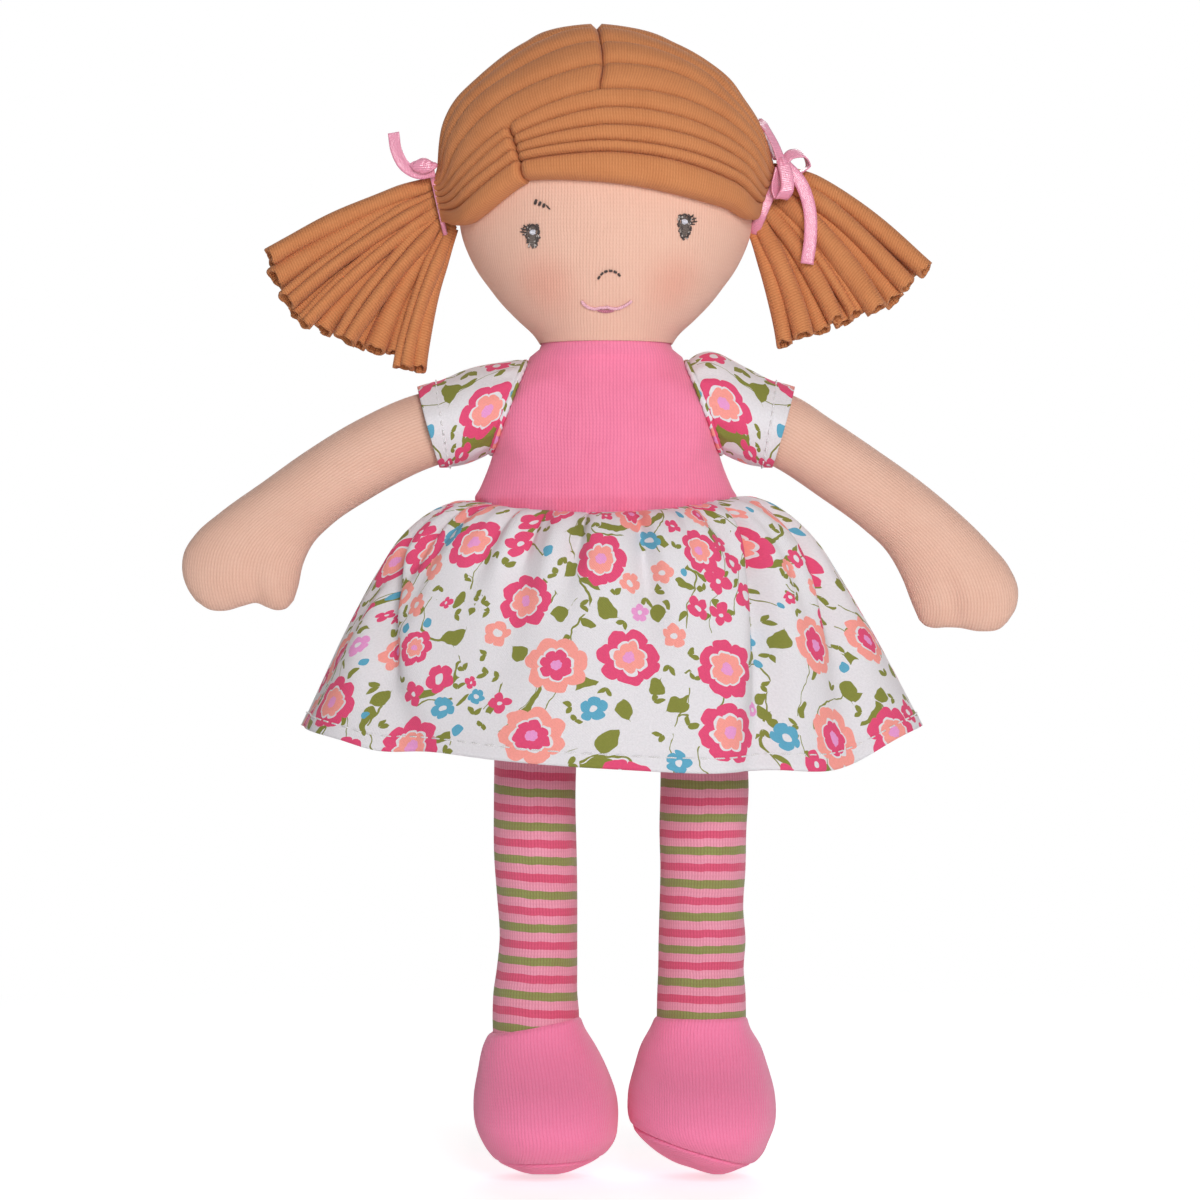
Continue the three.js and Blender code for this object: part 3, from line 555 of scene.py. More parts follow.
@dataclass
class Motif:
    """The motif of a scatter that is nearest to each place on the cloth, in mm.

    Each of its values adds its nodes to the material when it is first asked for.
    """

    add: Callable
    place: Feed
    spacing: float
    offset: Point
    stray: float

    def __post_init__(self) -> None:
        """Finds the motif."""
        self.grid = {"Scale": 1 / self.spacing, "Randomness": self.stray, "voronoi_dimensions": "2D"}
        self.moved = self.add("VectorMath:ADD", self.place, self.offset)
        self.cell = self.add("TexVoronoi", self.moved, **self.grid).outputs
        self.away = self.add("VectorMath:SUBTRACT", self.moved, self.cell["Position"])

    @cached_property
    def distance(self) -> Feed:
        """How far the motif's middle is."""
        return self.add("VectorMath:LENGTH", self.away).outputs["Value"]

    @cached_property
    def random(self) -> Sequence[Feed]:
        """Three random numbers."""
        return self.add("SeparateColor", self.cell["Color"]).outputs[:3]

    @cached_property
    def middle(self) -> Feed:
        """Where its middle is on the cloth."""
        return self.add("VectorMath:SUBTRACT", self.cell["Position"], self.offset)

    @cached_property
    def room(self) -> Feed:
        """The radius of the room round it."""
        ball = self.add("TexVoronoi", self.moved, **self.grid, feature="N_SPHERE_RADIUS")
        return self.add("Math:MULTIPLY", ball.outputs["Radius"], self.spacing)

    @cached_property
    def turned(self) -> Sequence[Feed]:
        """The offset from its middle as x and y, turned by a random angle."""
        angle = self.add("Math:MULTIPLY", self.random[1], 2 * math.pi)
        spun = self.add("VectorRotate", self.away, Angle=angle, rotation_type="Z_AXIS")
        return self.add("SeparateXYZ", spun).outputs[:2]

    @cached_property
    def angle(self) -> Feed:
        """The turned offset's angle."""
        return self.add("Math:ARCTAN2", self.turned[1], self.turned[0])


@dataclass(frozen=True)
class PrintedCotton(Finish):
    """White cotton lawn, plain weave, screen printed with scattered flowers and leaves.

    The print has flat even inks with clean edges. Each motif sits in a cell of a seeded scatter,
    no larger than the cell allows, and a motif whose middle is too near a larger one is left out.
    """

    ground: str = "#eae6ea"
    pink: str = "#e94f7b"
    coral: str = "#fea298"
    blue: str = "#60abc9"
    green: str = "#878a3c"
    orchid: str = "#f09fd6"
    bloom_spacing: float = 21.0
    bloom_radius: float = 7.0
    motif_spacing: float = 8.0
    motif_shift: float = 17.9
    motif_radius: float = 3.6
    sprig_spacing: float = 5.2
    sprig_shift: float = 41.3
    sprig_radius: float = 2.1
    vine_spacing: float = 12.0
    leaf_pitch: float = 6.4
    thread_pitch: float = 0.62
    stray: float = 0.75
    seed: float = 3.7

    def scatter(self, add: Callable, place: Feed, spacing: float, shift: float) -> Motif:
        """The nearest motif of a scatter; the shift moves it, so that no two are alike."""
        return Motif(add, place, spacing, (self.seed + shift, self.seed - shift, 0.0), self.stray)

    def flower(
        self, add: Callable, motif: Motif, radius: Feed, petals: int, depth: float, sharp: float
    ) -> Feed:
        """Where a flower of rounded or pointed petals is: distance below its petal edge.

        The edge is the radius times (1 - depth + depth |cos(petals angle / 2)| to the power sharp).
        """
        wave = add("Math:COSINE", add("Math:MULTIPLY", motif.angle, petals / 2))
        petal = add("Math:POWER", add("Math:ABSOLUTE", wave), sharp)
        edge = add("Math:MULTIPLY", add("Math:MULTIPLY_ADD", petal, depth, 1 - depth), radius)
        return add("Math:LESS_THAN", motif.distance, edge)

    def leaf(self, add: Callable, x: Feed, y: Feed, length: Feed, width: float, bend: float) -> Feed:
        """Where a bent pointed leaf is: |y - bend x squared| below width (1 - (x / length) squared)."""
        bent = add("Math:ABSOLUTE", add("Math:MULTIPLY_ADD", add("Math:MULTIPLY", x, x), -bend, y))
        share = add("Math:POWER", add("Math:ABSOLUTE", add("Math:DIVIDE", x, length)), 2.0)
        return add("Math:LESS_THAN", bent, add("Math:MULTIPLY_ADD", share, -width, width))

    def vine(self, recipe: Recipe, place: Feed) -> Feed:
        """Where a wandering stem with a leaf on each side in turn is.

        The cloth is warped by a slow noise, cut into upright lanes, and the stem runs up the middle
        of each lane. In a lane, each step of leaf_pitch holds one leaf that leans 34 degrees.
        """
        add = recipe.add
        x, y, _ = add("SeparateXYZ", recipe.warped(place, 0.05, 0.0, (34.0, 20.0, 0.0))).outputs
        lane = add("Math:DIVIDE", x, self.vine_spacing)
        shift = add("Math:MULTIPLY", add("Math:FLOOR", lane), 2.3)
        across = add("Math:MULTIPLY_ADD", add("Math:FRACT", lane), self.vine_spacing, -self.vine_spacing / 2)
        step = add("Math:DIVIDE", add("Math:ADD", y, shift), self.leaf_pitch)
        parity = add("Math:FLOORED_MODULO", add("Math:FLOOR", step), 2.0)
        side = add("Math:MULTIPLY_ADD", parity, 2.0, -1.0)
        rise = add("Math:MULTIPLY_ADD", add("Math:FRACT", step), self.leaf_pitch, 1.5 - self.leaf_pitch / 2)
        spot = add("CombineXYZ", add("Math:MULTIPLY", across, side), rise)
        leaning = add("VectorRotate", spot, Angle=math.radians(-34), rotation_type="Z_AXIS")
        x, y, _ = add("SeparateXYZ", leaning).outputs
        leaf = self.leaf(add, add("Math:SUBTRACT", x, 2.6), y, 2.4, 1.3, 0.08)
        grown = add("Math:MAXIMUM", add("Math:COMPARE", across, 0.0, 0.24), leaf)
        patch = add("TexNoise", place, Scale=0.062, Detail=0.0, noise_dimensions="2D")
        return add("Math:MULTIPLY", grown, add("Math:GREATER_THAN", patch, 0.43))

    def clear_of(
        self, add: Callable, motif: Motif, spacing: float, shift: float, size: float, gap: float
    ) -> Feed:
        """1 where a motif's middle is further than a gap from the nearest motif of another scatter."""
        other = self.scatter(add, motif.middle, spacing, shift)
        needed = add("Math:ADD", add("Math:MINIMUM", other.room, size), gap)
        return add("Math:GREATER_THAN", other.distance, needed)

    def mix(self, recipe: Recipe) -> bpy.types.Material:
        """Prints sprigs, then small motifs, then large blooms over the ground."""
        add = recipe.add
        cloth = add("UVMap", uv_map=CLOTH_MAP)
        place = recipe.warped(cloth, 0.3, 1.0, (1.6, 1.6, 0.0))
        layers = [linear(self.ground)]

        def lay(where: Feed, allowed: Feed | None, ink: Feed | str) -> None:
            """Prints an ink where a shape is, on the motifs that allow it."""
            shown = where if allowed is None else add("Math:MULTIPLY", where, allowed)
            layers.append(add("MixRGB", shown, layers[-1], linear(ink) if isinstance(ink, str) else ink))

        def within(size: Feed, share: float) -> Feed:
            """Where the distance from the motif's middle is below a share of the size."""
            return add("Math:LESS_THAN", motif.distance, add("Math:MULTIPLY", size, share))

        blooms = self.bloom_spacing, 0.0, self.bloom_radius
        motifs = self.motif_spacing, self.motif_shift, self.motif_radius
        lay(self.vine(recipe, place), None, self.green)
        sprig = self.scatter(add, place, self.sprig_spacing, self.sprig_shift)
        x, y = sprig.turned
        clear = self.clear_of(add, sprig, *blooms, 1.2), self.clear_of(add, sprig, *motifs, 0.9)
        alone = add("Math:MULTIPLY", *clear)
        lay(add("Math:LESS_THAN", sprig.distance, self.sprig_radius), alone, self.ground)
        folded = add("CombineXYZ", x, add("Math:ABSOLUTE", y))
        opened = add("VectorRotate", folded, Angle=math.radians(-38), rotation_type="Z_AXIS")
        x, y, _ = add("SeparateXYZ", opened).outputs
        half = self.sprig_radius / 2
        lay(self.leaf(add, add("Math:SUBTRACT", x, half), y, half, 0.62, 0.1), alone, self.green)

        motif = self.scatter(add, place, *motifs[:2])
        x, y = motif.turned
        size = add("Math:MULTIPLY", add("Math:MINIMUM", motif.room, self.motif_radius), 0.96)
        clear = self.clear_of(add, motif, *blooms, 1.6)
        pick, _, kind = motif.random

        def only(low: float, high: float) -> Feed:
            """1 for the motifs whose random number is between two shares."""
            return add("Math:MULTIPLY", add("Math:COMPARE", kind, (low + high) / 2, (high - low) / 2), clear)

        leaves, berries, stars, buds = only(0.6, 0.88), only(0.88, 1.1), only(0.42, 0.6), only(-0.1, 0.42)
        stem = self.leaf(add, x, add("Math:ADD", y, 0.1), size, 0.2, 0.14)
        tip = add("Math:SUBTRACT", x, add("Math:MULTIPLY", size, 0.15))
        blade = self.leaf(add, tip, y, add("Math:MULTIPLY", size, 0.95), 1.95, 0.08)
        lay(add("Math:MAXIMUM", stem, blade), leaves, self.green)
        lay(within(size, 0.42), berries, self.blue)
        lay(self.flower(add, motif, size, 4, 0.5, 0.6), stars, self.pink)
        lay(within(size, 0.2), stars, self.ground)
        inks = ((0.0, self.pink), (0.36, self.blue), (0.6, self.coral), (0.84, self.orchid))
        lay(self.flower(add, motif, size, 5, 0.32, 0.5), buds, recipe.ramp(pick, inks))
        lay(within(size, 0.3), buds, self.ground)

        bloom = self.scatter(add, place, *blooms[:2])
        room = add("Math:MINIMUM", bloom.room, self.bloom_radius)
        outer = recipe.ramp(bloom.random[0], ((0.0, self.pink), (0.64, self.coral)))
        inner = recipe.ramp(bloom.random[0], ((0.0, self.coral), (0.64, self.pink)))
        for share, ink in ((0.96, outer), (0.6, self.ground), (0.52, inner), (0.2, self.orchid)):
            size = add("Math:MULTIPLY", room, share)
            lay(self.flower(add, bloom, size, 7, 0.2, 0.5), None, ink)

        weave = add("TexNoise", cloth, Scale=2.2, Detail=4.0, noise_dimensions="2D")
        step = 2 * math.pi / self.thread_pitch
        warp, weft = (
            add("Math:SINE", add("Math:MULTIPLY", way, step)) for way in add("SeparateXYZ", cloth).outputs[:2]
        )
        height = add("Math:MULTIPLY_ADD", add("Math:MULTIPLY", warp, weft), 0.3, weave)
        slub = add("MapRange", weave, 0.3, 0.7, 0.93, 1.0)
        colour = recipe.shaded(layers[-1], slub)
        return recipe.finish(colour, 0.07, height, Roughness=0.8, Specular_IOR_Level=0.3, Sheen_Weight=0.08)


@dataclass(frozen=True)
class SatinRibbon(Finish):
    """Woven polyester satin, 3 mm wide: long glossy floats with a fine cross grain."""

    colour: str = "#ec93b0"

    def mix(self, recipe: Recipe) -> bpy.types.Material:
        """Fine weft lines across the ribbon that break its gloss into glints, and painted light that is
        brighter on their ridges and darker in their dips.
        """
        add = recipe.add
        cloth = add("UVMap", uv_map=CLOTH_MAP)
        along = add("SeparateXYZ", cloth).outputs["Y"]
        weft = add("Math:SINE", add("Math:MULTIPLY", along, 2 * math.pi / 0.42))
        grain = add("TexNoise", cloth, Scale=2.4, Detail=3.0, noise_dimensions="2D")
        height = add("Math:MULTIPLY_ADD", weft, 0.35, grain)
        # Painted light and shade from the weft and grain: 0.86 in the dips up to 1.06 on the ridges.
        light = add("MapRange", height, 0.1, 0.9, 0.86, 1.06)
        colour = recipe.shaded(linear(self.colour), light)
        gloss = {"Roughness": 0.23, "Specular_IOR_Level": 1.0, "Anisotropic": 0.4}
        return recipe.finish(colour, 0.05, height, **gloss, Sheen_Weight=0.3, Sheen_Roughness=0.3)


@dataclass(frozen=True)
class Thread(Finish):
    """Mercerised embroidery thread, twisted: slanting plies with a soft shine."""

    colour: str
    roughness: float = 0.5

    def mix(self, recipe: Recipe) -> bpy.types.Material:
        """Slanting lines for the twist of the plies, as a bump and as painted light and shade."""
        add = recipe.add
        place = add("SeparateXYZ", add("UVMap", uv_map=CLOTH_MAP)).outputs
        slant = add("Math:MULTIPLY_ADD", place["X"], 0.8, place["Y"])
        twist = add("Math:SINE", add("Math:MULTIPLY", slant, 2 * math.pi / 0.5))
        # Painted light and shade along the twist: 0.82 in the dips up to 1.05 on the plies.
        light = add("MapRange", twist, -1.0, 1.0, 0.82, 1.05)
        colour = recipe.shaded(linear(self.colour), light)
        return recipe.finish(colour, 0.05, twist, Roughness=self.roughness, Sheen_Weight=0.2)


# The second colour of each jersey, STOCKING's too, is the shade painted into the grooves between its wales.
FACE_SKIN = FaceJersey("brushed_face_jersey", "#f1c4b0", "#f1e3dc", mottle=0.06)
SKIN = Jersey("brushed_arm_jersey", "#eec3af", "#ecdcd4")
BODICE = Jersey("pink_bodice_jersey", "#fd8cb0", "#e9cfd8", wale=0.78)
SHOE = Jersey("pink_shoe_jersey", "#ff8bb4", "#fde2ec", wale=0.78, relief=0.13, mottle=0.05, sheen=0.3)
HAIR = Jersey("tan_hair_jersey", "#d48d5b", "#e0cabc", wale=0.62, relief=0.09, sheen=0.08)
COTTON = PrintedCotton("printed_cotton_lawn")
RIBBON = SatinRibbon("pink_satin_ribbon")
DARK_THREAD = Thread("dark_brown_thread", "#3d2f2c")
GREY_THREAD = Thread("grey_brown_thread", "#6d5f58")
# Pale grey thread for the specks of painted highlight in the eyes.
PALE_HIGHLIGHT_THREAD = Thread("pale_grey_thread", "#cdc3be")
WHITE_THREAD = Thread("white_thread", "#ecebf6", roughness=0.35)
LIP_THREAD = Thread("pale_pink_thread", "#fac0d0", roughness=0.35)
ROSE_THREAD = Thread("rose_thread", "#d9849c")
HEM_THREAD = Thread("hem_thread", "#f6f3f4", roughness=0.7)
STOCKING = "#f4a4bb", "#dfc0c4"
STOCKINGS = {
    Side.RIGHT: StripedJersey("stocking_right", *STOCKING, repeat=7.61, start=4.8, slope=-0.05),
    Side.LEFT: StripedJersey("stocking_left", *STOCKING, repeat=7.41, start=4.6, slope=-0.008),
}


@dataclass
class HeadForm:
    """The stuffed head's form: oval sections as rows of height, half width and half depth."""

    middle_z: float = 66.0
    neck_pivot_z: float = 30.0
    bowl_radius: float = 16.35
    stub_radius: float = 9.9
    stub_top_z: float = 54.4
    rows: Rows = (
        (36.7, 15.0, 14.8), (38.6, 16.3, 15.9), (42.2, 20.1, 18.0), (45.8, 23.6, 20.2), (49.5, 26.5, 22.1),
        (53.1, 29.1, 23.7), (56.7, 31.0, 24.8), (60.3, 32.4, 25.5), (66.0, 33.4, 26.1), (73.0, 33.9, 26.4),
        (80.0, 33.3, 26.0), (88.0, 29.8, 24.2), (95.0, 23.4, 20.6), (100.0, 16.1, 15.6), (103.1, 9.4, 9.6),
        (104.5, 2.8, 2.8),
    )

    def surface_distance(self, direction: Array) -> Array:
        """Distance from the head's middle to its surface in each direction, by halving."""
        low = np.zeros(direction.shape[:-1])
        high = np.full(direction.shape[:-1], 60.0)
        for _ in range(26):
            reach = (low + high) / 2
            z = self.middle_z + direction[..., 2] * reach
            off = ((direction[..., :2] * reach[..., None] / row_at(z, self.rows)) ** 2).sum(-1)
            inside = (off < 1) & (z > self.rows[0][0]) & (z < self.rows[-1][0])
            low, high = np.where(inside, reach, low), np.where(inside, high, reach)
        return low

    def on_face(self, x: Array, z: Array) -> tuple[Array, Array]:
        """Points on the front of the head and their normals, from small steps to the side and up.

        The surface is y = -depth sqrt(1 - (x / width) squared).
        """

        def place(px: Array, pz: Array) -> Array:
            """The point at a place (x, z)."""
            size = row_at(pz, self.rows)
            y = -size[..., 1] * np.sqrt(np.maximum(0, 1 - (px / size[..., 0]) ** 2))
            return np.stack([px, y, pz], -1)

        step = 0.2
        across = place(x + step, z) - place(x - step, z)
        upward = place(x, z + step) - place(x, z - step)
        return place(x, z), unit(np.cross(across, upward))

    def patch(self, columns: int = 168, rings: int = 120) -> Patch:
        """The head's skin, with the bowl that sits on the shoulders' dome and the neck's pocket."""
        turn = circle(columns, math.pi / 2)
        low, high = self.rows[0][0], self.rows[-1][0]
        share = (1 - np.cos(np.linspace(0.12, math.pi, rings))) / 2
        z = lerp(low, high, (share - share[0]) / (1 - share[0]))
        outer = oval_rings(*row_at(z, self.rows).T, z, turn)
        steep = math.acos(self.stub_radius / self.bowl_radius)
        rim = math.asin((low - self.neck_pivot_z) / self.bowl_radius)
        bowl = np.linspace(steep, rim + 0.03, 8)
        radii = np.append(self.stub_radius, self.bowl_radius * np.cos(bowl))
        heights = np.append(self.stub_top_z, self.neck_pivot_z + self.bowl_radius * np.sin(bowl))
        rings_all = np.concatenate([oval_rings(radii, radii, heights, turn), outer])
        return Patch.tube(rings_all, ring_cloth(rings_all, columns // 2))


@dataclass
class Embroidery:
    """The stitched face: every stitch is a short raised thread that dips into the jersey."""

    head: HeadForm
    rise: float = 0.16
    eye_half_width: float = 1.55
    eye_half_height: float = 2.85

    def stitches(self, starts: Array, ends: Array, radius: float, rise: float | None = None) -> Patch:
        """Threads between pairs of places on the face.

        Along a stitch the thread's middle stands out by radius / 3 + rise times sin(pi t), and its
        radius is the given one times the sixth root of 1 - |2 t - 1| to the sixth.

        Args:
            starts: places (x, z), one row for each stitch.
            ends: places (x, z), one row for each stitch.
            radius: of the thread.
            rise: of the middle of a stitch, or None for the usual one.

        Returns:
            All the stitches as one patch.
        """
        t = np.linspace(0.0, 1.0, 9)
        places = starts[:, None] + (ends - starts)[:, None] * t[None, :, None]
        on, normal = self.head.on_face(places[..., 0], places[..., 1])
        lift = radius / 3 + (self.rise if rise is None else rise) * np.sin(math.pi * t)
        middle = on + normal * lift[None, :, None]
        tangent = unit(np.gradient(middle, axis=1))
        side = unit(np.cross(normal, tangent))
        girth = radius * np.maximum(0.35, (1 - np.abs(2 * t - 1) ** 6) ** (1 / 6))
        return Patch.joined(threads(middle, side, np.cross(tangent, side), girth[:, None, None], 8))

    def along(self, places: Rows, pitch: float, fill: float) -> tuple[Array, Array]:
        """Starts and ends of stitches laid end to end along a smooth line."""
        length = np.linalg.norm(np.diff(np.asarray(places, float), axis=0), axis=1).sum()
        count = max(2, round(length / pitch))
        share = np.arange(count) / count
        return path_through(places, share), path_through(places, share + fill / count)

    def eye(self, x: float, z: float, side: Side) -> None:
        """One eye: a grey ground of long stitches, short dark ones over it, pale specks as painted
        highlights, a white glint, lashes.

        Args:
            x: the eye's middle.
            z: the eye's middle.
            side: which side it is on; its lashes point to that side.
        """
        rng = np.random.default_rng(11 + side.value)
        word = side.word

        def worked(starts: Array, ends: Array, radius: float, rise: float) -> Patch:
            """Stitches between places round the eye's middle, with x outwards."""
            places = [np.array([x, z]) + np.asarray(p, float) * (side.value, 1.0) for p in (starts, ends)]
            return self.stitches(*places, radius, rise)

        def spot(across: Array, up: Array) -> Array:
            """A place in the eye's shape, which is an oval that narrows downwards."""
            wide = self.eye_half_width * np.sqrt(np.maximum(0, 1 - up**2)) * (0.98 + 0.3 * up)
            return np.stack([across * wide, up * self.eye_half_height], -1)

        def scattered(count: int, inner: float, long: float) -> tuple[Array, Array]:
            """Short upright stitches all over the shape outside an inner share, leaning at random."""
            up = rng.uniform(-0.97, 0.9, count)
            across = np.sign(rng.uniform(-1, 1, count)) * np.sqrt(rng.uniform(inner**2, 1.0, count))
            lean = rng.normal(0, 0.5, count)
            half = long / 2 * np.stack([np.sin(lean), np.cos(lean)], -1)
            return spot(across, up) - half, spot(across, up) + half

        low = np.linspace(-0.88, 0.88, 7)
        fill = worked(spot(low, 0.95 - 0.5 * low**2), spot(low * 0.7, -0.93 + 0.45 * low**2), 0.25, 0.05)
        sew(f"eye_{word}_grey_stitches", fill, GREY_THREAD, "head")
        lashes = np.array([
            (1.0, 1.9, 2.1, 2.6), (1.2, 1.4, 2.7, 1.9), (1.3, 0.9, 2.9, 1.2), (1.2, 0.5, 2.4, 0.5)
        ])
        crown = np.linspace(-0.8, 0.8, 7)
        lid = spot(crown, 0.92 - 0.35 * crown**2)
        dark = [
            worked(*scattered(30, 0.75, 0.75), 0.16, 0.26),
            worked(*scattered(22, 0.0, 0.8), 0.15, 0.24),
            worked(lid[:-1], lid[1:], 0.2, 0.28),
            worked(lashes[:, :2], lashes[:, 2:], 0.15, 0.2),
            worked(lashes[:-1, :2] + (0.7, 0.1), lashes[:-1, :2] + (0.9, 0.75), 0.12, 0.24),
        ]
        sew(f"eye_{word}_dark_stitches", dark, DARK_THREAD, "head", [f"eye_{word}"])
        # Painted highlights: pale stitches scattered among the dark ones stand for light caught on the
        # thread.
        pale = worked(*scattered(17, 0.2, 0.5), 0.12, 0.4)
        sew(f"eye_{word}_pale_stitches", pale, PALE_HIGHLIGHT_THREAD, "head")
        spots = np.linspace(-0.5, 0.5, 5)
        top = np.stack([spots - 0.1, 1.6 - 1.0 * spots**2], -1)
        low = np.stack([spots * 0.9 - 0.1, 0.3 + 0.5 * np.abs(spots)], -1)
        sew(f"eye_{word}_glint", worked(top, low, 0.19, 0.5), WHITE_THREAD, "head")

    def build(self) -> None:
        """Both eyes, the one brow, the nose and the mouth."""
        self.eye(-16.2, 59.3, Side.RIGHT)
        self.eye(17.3, 61.6, Side.LEFT)
        brow = np.array([
            (-15.7, 66.3, -15.3, 67.4), (-14.75, 66.0, -14.4, 66.9), (-13.85, 65.6, -13.5, 66.4)
        ])
        thin = np.array([(-13.2, 66.1, -12.5, 65.2), (-13.0, 65.7, -12.3, 65.1)])
        hairs = [self.stitches(row[:, :2], row[:, 2:], size) for row, size in ((brow, 0.34), (thin, 0.16))]
        sew("eyebrow_stitches", hairs, DARK_THREAD, "head", ["eyebrow_right"])
        arc = ((-1.8, 49.9), (-0.9, 51.1), (0.1, 51.6), (1.0, 51.7), (1.9, 51.5), (2.7, 51.0), (3.3, 50.3))
        nose = self.stitches(*self.along(arc, 0.98, 0.72), 0.27)
        sew("nose_stitches", nose, DARK_THREAD, "head", ["nose_stitch"])
        lips = (
            (-5.5, 45.3), (-4.5, 44.2), (-3.2, 43.6), (-1.5, 43.6), (-0.3, 44.1), (0.8, 43.7), (2.4, 43.6),
            (4.1, 44.2), (5.7, 45.3),
        )
        mouth = self.stitches(*self.along(lips, 1.25, 1.25), 0.37)
        sew("mouth_stitches", mouth, LIP_THREAD, "head", ["mouth_stitch"])
        x = np.linspace(-1.9, 1.7, 9)
        top, low = np.stack([x, np.full(9, 43.35)], -1), np.stack([x * 0.85, 42.7 + 0.12 * x**2], -1)
        sew("lower_lip_stitches", self.stitches(top, low, 0.24), ROSE_THREAD, "head")


@dataclass
class Tie:
    """Where a pigtail is tied: an oval pinch beside the head, leaning outward at its top."""

    x: float
    z: float
    lean: float
    half_height: float
    half_depth: float
    band_width: float
    cap_end: float

    @property
    def up(self) -> Array:
        """The pinch's long direction in the front plane, on the left side."""
        return np.array([math.sin(math.radians(self.lean)), 0, math.cos(math.radians(self.lean))])

    @property
    def out(self) -> Array:
        """The direction away from the head through the pinch, on the left side."""
        return self.up[[2, 1, 0]] * (1, 0, -1)

    def ring(self, lift: Array, grow: Number, along: Number) -> Array:
        """Points round the pinch on the left side.

        Args:
            lift: the angle up from straight ahead, in radians.
            grow: how far outside the oval they lie.
            along: how far from the head they lie.

        Returns:
            The points.
        """
        rise = (self.half_height + grow) * np.sin(lift)
        forward = (self.half_depth + grow) * np.cos(lift)
        moved = self.up * rise[..., None] - BACK * forward[..., None]
        return np.array([self.x, 0, self.z]) + moved + self.out * np.asarray(along)[..., None]


TIES = {
    Side.LEFT: Tie(36.7, 69.7, 23.0, 7.0, 3.9, 2.4, -0.8),
    Side.RIGHT: Tie(37.8, 68.1, 12.6, 5.9, 3.7, 0.9, 0.2),
}


@dataclass
class Hair:
    """Hair of folded knit strips: each runs from a parting to a tie, and its ribs run across it.

    A place on the hair has a lift, the angle up from straight ahead round the line through both
    ties, and a reach, the angle out towards a tie. Both are in degrees.
    """

    head: HeadForm
    base: float = 1.1
    height: float = 3.6
    tie_reach: float = 84.0
    gather_reach: float = 58.0
    parting_reach: float = 0.08
    side_parting_reach: float = 35.5
    crown_top: float = 98.0
    crown_edge: float = 44.0
    back_low: float = 98.0
    back_high: float = 229.0
    end_rounding: float = 1.3
    sway: Rows = (
        (76.0, 0.0), (84.0, -0.8), (88.0, -1.2), (92.0, -1.4), (96.6, -0.75), (102.0, -1.1), (108.0, -2.2)
    )

    def place(self, side: Side, lift: Array, reach: Array, height: Array) -> Array:
        """Points at a height above the head.

        The direction from the head's middle is (side sin reach, -cos reach cos lift,
        cos reach sin lift). Past gather_reach they draw in to the tie's oval.

        Args:
            side: which tie the strip runs to.
            lift: in degrees.
            reach: in degrees.
            height: above the head's skin.

        Returns:
            The points.
        """
        up, out = np.radians(lift), np.radians(reach)
        direction = points_of(side.value * np.sin(out), -np.cos(out) * np.cos(up), np.cos(out) * np.sin(up))
        distance = self.head.surface_distance(direction) + height
        over_head = direction * distance[..., None] + UP * self.head.middle_z
        end = TIES[side].cap_end + 0 * height + 0 * out
        at_tie = TIES[side].ring(up + 0 * out, height * 0.55, end) * side.mirror
        gather = ease((reach - self.gather_reach) / (self.tie_reach - self.gather_reach)) ** 2.0
        spot = lerp(over_head, at_tie, (gather + 0 * lift)[..., None])
        spot[..., 0] += row_at(spot[..., 2], self.sway)[..., 0]
        return spot

    def strip(self, side: Side, low: Edge, high: Edge, start: float, seed: int, tail: float) -> Patch:
        """One folded strip.

        Across it, the height above the head is base + height times the cube root of
        1 - |2 t - 1| cubed, so that it is flat in the middle and steep at the creases. Its height
        falls a little where it is sewn into the parting.

        Args:
            side: which tie it runs to.
            low: its lower edge's lift as a function of reach.
            high: its upper edge's lift.
            start: the reach where it starts.
            seed: for its small unevenness.
            tail: how much of the height is left at the tie.

        Returns:
            The closed strip.
        """
        steps, across, under = 56, 18, 4
        rng = np.random.default_rng(seed)
        share = np.linspace(0, 1, steps)
        reach = lerp(start, self.tie_reach, share)[:, None]
        t = (1 - np.cos(np.linspace(0, math.pi, across))) / 2
        outer = np.maximum(0, 1 - np.abs(2 * t - 1) ** 3) ** (1 / 3)
        from_start = np.clip((reach - start) / self.end_rounding, 0, 1)
        sewn = 0.74 + 0.26 * np.sqrt(1 - (1 - from_start) ** 2)
        to_tie = lerp(1.0, tail, ease((reach - 60) / (self.tie_reach - 60)))
        wave = 0.14 * np.sin(share * rng.uniform(5, 9) + rng.uniform(0, 6))[:, None]
        height = self.base * sewn + (self.height + wave) * outer * sewn * to_tie
        top = self.place(side, lerp(low(reach) - 0.12, high(reach) + 0.12, t), reach, height)
        back = lerp(low(reach), high(reach), np.linspace(1, 0, under + 2)[1:-1])
        bottom = self.place(side, back, reach, np.full((steps, under), -0.3))
        rings = np.concatenate([top, bottom], axis=1)
        return Patch.tube(rings, ring_cloth(rings, across // 2, turned=True))

    def strips(
        self, side: Side, borders: Sequence[float], low: Edge, high: Edge, start: float, seed: int
    ) -> list[Patch]:
        """Strips between two edges.

        Args:
            side: which tie they run to.
            borders: shares of the way from the low to the high edge, a little shifted here.
            low: the lowest strip's lower edge.
            high: the highest strip's upper edge.
            start: the reach where they start.
            seed: for their small unevenness.

        Returns:
            The strips, from the low edge up.
        """
        count = len(borders) - 1
        rng = np.random.default_rng(seed)
        shift = np.concatenate([[0], rng.uniform(-0.12, 0.12, count - 1), [0]]) / count
        phase = rng.uniform(0, 6, count + 1)

        def border(k: int) -> Edge:
            """The border with a number, which bends a little unless it is the first or last."""

            def at(reach: Array) -> Array:
                """Its lift at a reach."""
                share = (reach - start) / (self.tie_reach - start)
                bend = np.sin(math.pi * share) * np.sin(3.2 * share + phase[k])
                bend = (0.0 if k in (0, count) else 0.5) * bend
                return lerp(low(reach), high(reach), borders[k] + shift[k]) + bend

            return at

